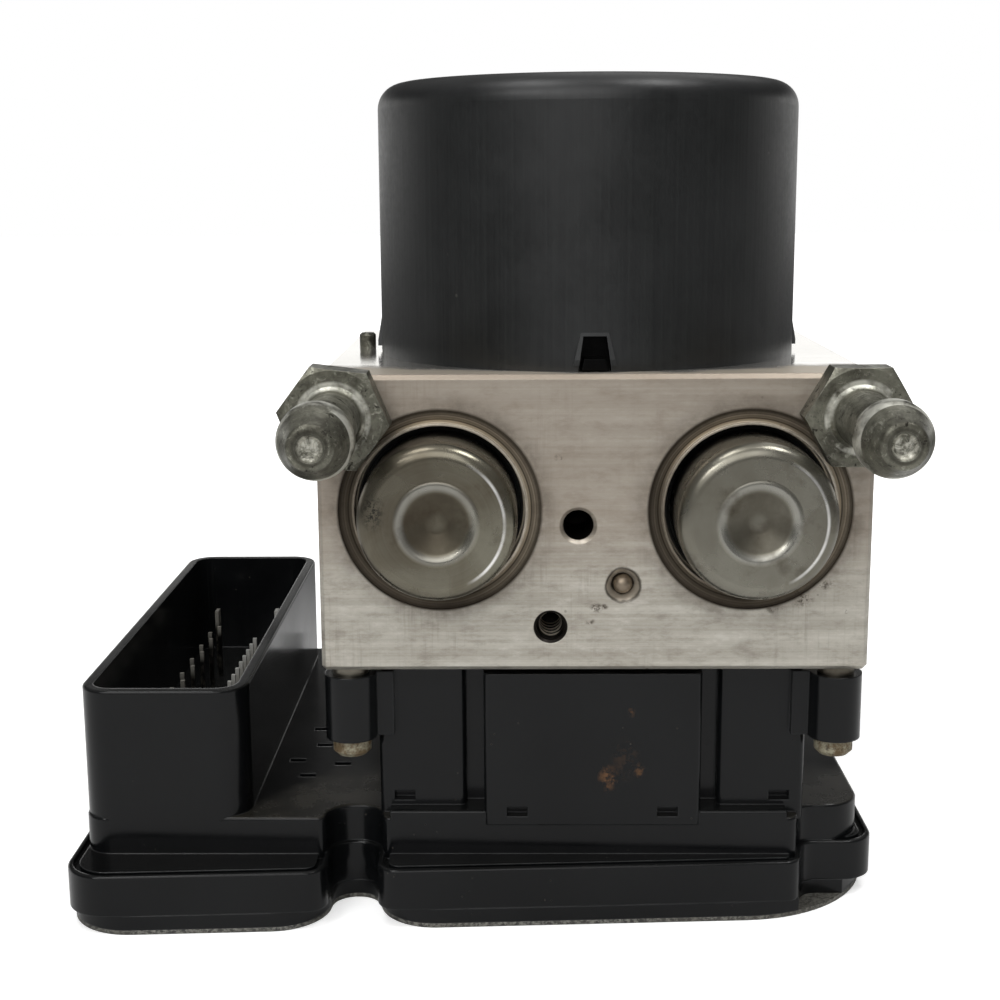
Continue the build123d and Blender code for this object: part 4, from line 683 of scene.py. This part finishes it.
def winding_material():
    """Enamelled copper wire."""
    s = Shade("winding_copper", metal=0.85)
    wire = s.math("SINE", s.times(s.math("ADD", s.part(0), s.part(1)), 2 * math.pi / WIRE_PITCH))
    drift = s.noise(220.0, 4.0)
    base = s.mix(s.span(wire, -0.5, 0.8), srgb(96, 42, 18), srgb(196, 104, 54))
    base = s.mix(s.span(drift, 0.4, 0.7, 0.0, 0.4), base, srgb(140, 66, 30))
    s.bump(wire, 0.0001, 0.6)
    return s.done(base, s.span(drift, 0.3, 0.7, 0.25, 0.4))


def board_material():
    """Green solder mask with tracks just showing through."""
    s = Shade("board_green", specular=0.5)
    track = s.span(s.cells(240.0, randomness=0.4), 0.30, 0.36)
    drift = s.noise(90.0, 3.0)
    base = s.mix(track, srgb(18, 74, 44), srgb(30, 98, 58))
    base = s.mix(s.span(drift, 0.4, 0.7, 0.0, 0.4), base, srgb(14, 60, 38))
    s.bump(track, 0.00003, 0.5)
    return s.done(base, s.span(drift, 0.3, 0.7, 0.3, 0.45))


BLOCK = block_material()
CAN = can_material()
HOUSING = housing_material()
STUD = stud_material()
SHEET = plate_material()
STEEL = steel_material("plain_steel", srgb(178, 178, 174), srgb(134, 132, 126))
BUSH = steel_material("bush_steel", srgb(122, 118, 108), srgb(84, 78, 68), 0.30, 0.48)
BALL = steel_material("ball_steel", srgb(146, 134, 118), srgb(108, 97, 84), 0.42, 0.55)
PINS = pin_material()
TERMINALS = steel_material("terminal_tin", srgb(206, 200, 184), srgb(168, 160, 140), 0.22, 0.36)
COPPER = steel_material("commutator_copper", srgb(196, 122, 82), srgb(150, 84, 52), 0.22, 0.36)
MAGNET = plastic_material("ferrite", srgb(62, 62, 64), srgb(44, 44, 47), 0.5, 0.7)
CARBON = plastic_material("brush_carbon", srgb(46, 46, 48), srgb(34, 34, 36), 0.5, 0.7)
CARD = plastic_material("brown_moulding", srgb(60, 50, 42), srgb(44, 38, 33))
COIL = plastic_material("coil_moulding", srgb(40, 42, 46), srgb(28, 29, 32))
CHIP = plastic_material("chip_moulding", srgb(36, 36, 38), srgb(24, 24, 26))
SEAL = plastic_material("black_rubber", srgb(34, 34, 34), srgb(24, 24, 24), 0.6, 0.8)
RUST = rusty_material()
# painted shade: the end plate seen through the can's window is coloured near black, darker than its own
# phosphated finish, to stand in for the shade inside the can
END_PLATE = steel_material("dark_steel_painted_shade", srgb(24, 24, 24), srgb(12, 12, 12), 0.30, 0.45)

dress(BLOCK, "valve_block", "accumulator_piston_left", "accumulator_piston_right")
dress(CAN, "motor_can")
dress(HOUSING, "ecu_housing", "ecu_bottom_cover")
dress(SHEET, "cover_plate")
dress(STUD, "mounting_stud_left", "mounting_stud_right", "locating_pin")
CAP_TONES = {"left": (srgb(126, 123, 109), srgb(98, 92, 78), 0.9),
             "right": (srgb(154, 153, 142), srgb(130, 128, 116), 0.0)}
for side, centre in CAPS.items():
    dress(cap_material("cap_zinc_" + side, centre, *CAP_TONES[side]), "accumulator_cap_" + side)
dress(BUSH, "boss_bushes")
dress(BALL, "ball_plug")
dress(RUST, "ecu_screws")
dress(END_PLATE, "motor_end_plate")
dress(STEEL, "lower_bearing", "upper_bearing", "rotor_shaft", "eccentric_ring",
      "valve_cartridges", "pump_piston_left", "pump_piston_right", "pump_spring_left", "pump_spring_right",
      "pump_plug_left", "pump_plug_right", "accumulator_spring_left", "accumulator_spring_right")
dress(PINS, "connector_pins")
dress(TERMINALS, "motor_terminals")
dress(COPPER, "commutator")
dress(lamination_material(), "armature_core")
dress(winding_material(), "armature_windings")
dress(board_material(), "circuit_board")
dress(MAGNET, "motor_magnets")
dress(CARBON, "carbon_brushes")
dress(CARD, "brush_card", "terminal_guide")
dress(COIL, "valve_coils")
dress(CHIP, "control_chips")
dress(SEAL, "ecu_seal", "accumulator_seal_left", "accumulator_seal_right")


# ---- added pieces -----------------------------------------------------------------------
def piece(name, verts, faces, material, slot, body="module"):
    """A mesh piece that rides on a body."""
    mesh = bpy.data.meshes.new(name)
    mesh.from_pydata(verts, [], faces)
    mesh.update()
    bm = bmesh.new()
    bm.from_mesh(mesh)
    bmesh.ops.remove_doubles(bm, verts=bm.verts, dist=SAME_POINT)
    bmesh.ops.recalc_face_normals(bm, faces=bm.faces)
    bm.to_mesh(mesh)
    bm.free()
    for polygon in mesh.polygons:
        polygon.use_smooth = True
    mesh.materials.append(material)
    item = bpy.data.objects.new(name, mesh)
    bpy.context.scene.collection.objects.link(item)
    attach(item, body)
    return item


def thread(name, mouth, inward, radius, material, slot, length, pitch, depth):
    """Helical thread ridges on the wall of a tapped hole: mouth is the centre of the hole's
    mouth and inward the direction into the metal."""
    axis = Vector(inward).normalized()
    side = axis.orthogonal().normalized()
    other = axis.cross(side)
    turns = length / pitch
    count = int(turns * THREAD_STEPS)
    verts, faces = [], []
    outer = radius + THREAD_OVERLAP
    for index in range(count + 1):
        angle = 2 * math.pi * index / THREAD_STEPS
        along = pitch * index / THREAD_STEPS
        fade = min(1.0, index / THREAD_RUN_OUT, (count - index) / THREAD_RUN_OUT)
        around = side * math.cos(angle) + other * math.sin(angle)
        crest = radius - depth * fade
        for reach, shift in ((outer, -0.44), (crest, -0.12), (crest, 0.12), (outer, 0.44)):
            verts.append(Vector(mouth) + axis * (along + shift * pitch) + around * reach)
    for index in range(count):
        for corner in range(3):
            a = index * 4 + corner
            faces.append((a, a + 1, a + 5, a + 4))
    return piece(name, verts, faces, material, slot)


BRACKET_HOLE = next(m for m in frame["record"]["mounts"] if m["name"] == "bracket_screw_hole")
hole_at = BRACKET_HOLE["pos_m"]
thread("thread_bracket_hole", (hole_at[0], FACE_Y + BRACKET_THREAD_IN, hole_at[2]), (0, 1, 0),
       BRACKET_HOLE["dims"]["r_mm"] / 1000, thread_material(), "block", **BRACKET_THREAD)
for mount in frame["record"]["mounts"]:
    if "_port_" in mount["name"]:
        at = mount["pos_m"]
        thread("thread_" + mount["name"], (at[0], BLOCK_HIGH[1] - PORT_THREAD_IN, at[2]), (0, -1, 0),
               mount["dims"]["r_mm"] / 1000, BLOCK, "block", **PORT_THREAD)


def tube(path, across, radius):
    """Vertices and faces of a capped round tube: path holds centres, and across a unit vector
    square to the run for each of them."""
    verts, faces = [], []
    count, sides = len(path), TUBE_SIDES
    for index, centre in enumerate(path):
        run = (path[min(index + 1, count - 1)] - path[max(index - 1, 0)]).normalized()
        first = across[index]
        second = run.cross(first).normalized()
        for corner in range(sides):
            angle = 2 * math.pi * corner / sides
            verts.append(centre + first * (radius * math.cos(angle)) + second * (radius * math.sin(angle)))
    for index in range(count - 1):
        for corner in range(sides):
            a, b = index * sides + corner, index * sides + (corner + 1) % sides
            faces.append((a, b, b + sides, a + sides))
    faces.append(tuple(range(sides - 1, -1, -1)))
    faces.append(tuple(range((count - 1) * sides, count * sides)))
    return verts, faces


def accumulator_spring(side):
    """Round-wire spring with closed ends."""
    node = "accumulator_spring_" + side
    low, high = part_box(node)
    wire = SPRING_WIRE / 2
    start, end = low.y + wire, high.y - wire
    steps = SPRING_TURNS * SPRING_STEPS
    path, across = [], []
    for index in range(steps + 1):
        angle = 2 * math.pi * index / SPRING_STEPS
        free = (index / steps - SPRING_CLOSED) / (1 - 2 * SPRING_CLOSED)
        along = start + (end - start) * min(max(free, 0.0), 1.0)
        outward = Vector((math.cos(angle), 0.0, math.sin(angle)))
        path.append(Vector((CAPS[side].x, along, CAPS[side].z)) + outward * SPRING_RADIUS)
        across.append(outward)
    item = piece("coiled_spring_" + side, *tube(path, across, wire), STEEL, "steel")
    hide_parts(node)
    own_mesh(item)


for side in CAPS:
    accumulator_spring(side)


# ---- stage, camera and light ---------------------------------------------------------------
def ray_kind(tree, *kinds):
    """1 for rays of any of the named kinds."""
    path = tree.nodes.new("ShaderNodeLightPath")
    found = path.outputs[kinds[0]]
    for kind in kinds[1:]:
        larger = tree.nodes.new("ShaderNodeMath")
        larger.operation = "MAXIMUM"
        tree.links.new(found, larger.inputs[0])
        tree.links.new(path.outputs[kind], larger.inputs[1])
        found = larger.outputs[0]
    return found


def ranged(tree, value, low, high, to_low, to_high):
    """Smoothly maps a value from low..high to to_low..to_high."""
    node = tree.nodes.new("ShaderNodeMapRange")
    node.interpolation_type = "SMOOTHSTEP"
    tree.links.new(value, node.inputs["Value"])
    set_range(node, low, high, to_low, to_high)
    return node.outputs["Result"]


def blended(tree, factor, low, high):
    """Mixes two strengths, each a number or a socket."""
    node = tree.nodes.new("ShaderNodeMix")
    node.data_type = "FLOAT"
    tree.links.new(factor, node.inputs[0])
    for value, socket in ((low, node.inputs[2]), (high, node.inputs[3])):
        if isinstance(value, bpy.types.NodeSocket):
            tree.links.new(value, socket)
        else:
            socket.default_value = value
    return node.outputs[0]


def floor_material():
    """Matte white with a glow for camera and transmission rays, so that only the object's shadow
    shows; other rays see a plain matte floor that gets darker away from the object and behind it."""
    mat = bpy.data.materials.new("white_floor")
    mat.use_nodes = True
    tree = mat.node_tree
    nodes, links = tree.nodes, tree.links
    nodes.clear()
    out = nodes.new("ShaderNodeOutputMaterial")
    matte = nodes.new("ShaderNodeBsdfDiffuse")
    matte.inputs["Color"].default_value = FLOOR_WHITE
    coord = nodes.new("ShaderNodeTexCoord")
    length = nodes.new("ShaderNodeVectorMath")
    length.operation = "LENGTH"
    links.new(coord.outputs["Object"], length.inputs[0])
    split = nodes.new("ShaderNodeSeparateXYZ")
    links.new(coord.outputs["Object"], split.inputs[0])
    fade = nodes.new("ShaderNodeMath")
    fade.operation = "MULTIPLY"
    links.new(ranged(tree, length.outputs["Value"], *FLOOR_FADE_AWAY), fade.inputs[0])
    links.new(ranged(tree, split.outputs["Y"], *FLOOR_FADE_BEHIND), fade.inputs[1])
    bounced = nodes.new("ShaderNodeBsdfDiffuse")
    links.new(fade.outputs[0], bounced.inputs["Color"])
    glow = nodes.new("ShaderNodeEmission")
    links.new(ranged(tree, length.outputs["Value"], *FLOOR_GLOW), glow.inputs["Strength"])
    both = nodes.new("ShaderNodeAddShader")
    links.new(matte.outputs[0], both.inputs[0])
    links.new(glow.outputs[0], both.inputs[1])
    choose = nodes.new("ShaderNodeMixShader")
    links.new(ray_kind(tree, "Is Camera Ray", "Is Transmission Ray"), choose.inputs[0])
    links.new(bounced.outputs[0], choose.inputs[1])
    links.new(both.outputs[0], choose.inputs[2])
    links.new(choose.outputs[0], out.inputs["Surface"])
    return mat


def make_floor():
    """A large square just under the object."""
    mesh = bpy.data.meshes.new("floor")
    half = FLOOR_HALF
    corners = [(-half, -half, 0), (half, -half, 0), (half, half, 0), (-half, half, 0)]
    mesh.from_pydata(corners, [], [(0, 1, 2, 3)])
    mesh.materials.append(floor_material())
    floor = bpy.data.objects.new("floor", mesh)
    floor.location.z = -FLOOR_DROP
    bpy.context.scene.collection.objects.link(floor)


def make_world():
    """White to camera and transmission rays. Other rays see a dim room with a brighter ceiling,
    and glossy rays also a white backdrop low behind the object."""
    world = bpy.data.worlds.new("studio")
    bpy.context.scene.world = world
    world.use_nodes = True
    tree = world.node_tree
    nodes, links = tree.nodes, tree.links
    nodes.clear()
    out = nodes.new("ShaderNodeOutputWorld")
    coord = nodes.new("ShaderNodeTexCoord")
    split = nodes.new("ShaderNodeSeparateXYZ")
    links.new(coord.outputs["Generated"], split.inputs[0])
    behind = ranged(tree, split.outputs["Y"], *BEHIND_FROM, 0.0, 1.0)
    backdrop = ranged(tree, split.outputs["Z"], *BACKDROP_TOP, BACKDROP_GLOW, ROOM_GLOW_BACK)
    backdrop = blended(tree, ray_kind(tree, "Is Glossy Ray"), ROOM_GLOW_BACK, backdrop)
    glow = blended(tree, behind, ROOM_GLOW, backdrop)
    glow = blended(tree, ranged(tree, split.outputs["Z"], *HIGH_FROM, 0.0, 1.0), glow, HIGH_GLOW)
    glow = blended(tree, ranged(tree, split.outputs["Z"], *CEILING_FROM, 0.0, 1.0), glow, CEILING_GLOW)
    room = nodes.new("ShaderNodeBackground")
    links.new(glow, room.inputs["Strength"])
    room.inputs["Color"].default_value = ROOM_TINT
    white = nodes.new("ShaderNodeBackground")
    white.inputs["Color"].default_value = (1.0, 1.0, 1.0, 1.0)
    white.inputs["Strength"].default_value = 1.0
    choose = nodes.new("ShaderNodeMixShader")
    links.new(ray_kind(tree, "Is Camera Ray", "Is Transmission Ray"), choose.inputs[0])
    links.new(room.outputs[0], choose.inputs[1])
    links.new(white.outputs[0], choose.inputs[2])
    links.new(choose.outputs[0], out.inputs["Surface"])


def area_light(name, at, size, power):
    """A square lamp that points at the object."""
    data = bpy.data.lights.new(name, "AREA")
    data.shape = "RECTANGLE"
    data.size = size
    data.size_y = size
    data.energy = power
    lamp = bpy.data.objects.new(name, data)
    lamp.location = at
    lamp.rotation_euler = (Vector(LAMPS_POINT_AT) - Vector(at)).to_track_quat("-Z", "Y").to_euler()
    bpy.context.scene.collection.objects.link(lamp)


def make_camera():
    """The photograph's camera: square sensor, placed and turned by the fitted values."""
    cos_pitch = math.cos(PITCH)
    ahead = Vector((math.sin(YAW) * cos_pitch, math.cos(YAW) * cos_pitch, math.sin(PITCH)))
    right = Vector((math.cos(YAW), -math.sin(YAW), 0.0))
    up = right.cross(ahead)
    right_rolled = right * math.cos(ROLL) + up * math.sin(ROLL)
    up_rolled = up * math.cos(ROLL) - right * math.sin(ROLL)
    data = bpy.data.cameras.new("camera")
    data.sensor_width = SENSOR
    data.sensor_height = SENSOR
    data.sensor_fit = "HORIZONTAL"
    data.lens = FOCAL_PIXELS / IMAGE * SENSOR
    data.clip_start = CLIP_START
    camera = bpy.data.objects.new("camera", data)
    turn = Matrix((right_rolled, up_rolled, -ahead)).transposed().to_4x4()
    camera.matrix_world = Matrix.Translation(CAMERA_AT) @ turn
    bpy.context.scene.collection.objects.link(camera)
    bpy.context.scene.camera = camera


make_floor()
make_world()
make_camera()
for lamp in LAMPS:
    area_light(*lamp)

bpy.context.scene.view_settings.view_transform = "Standard"
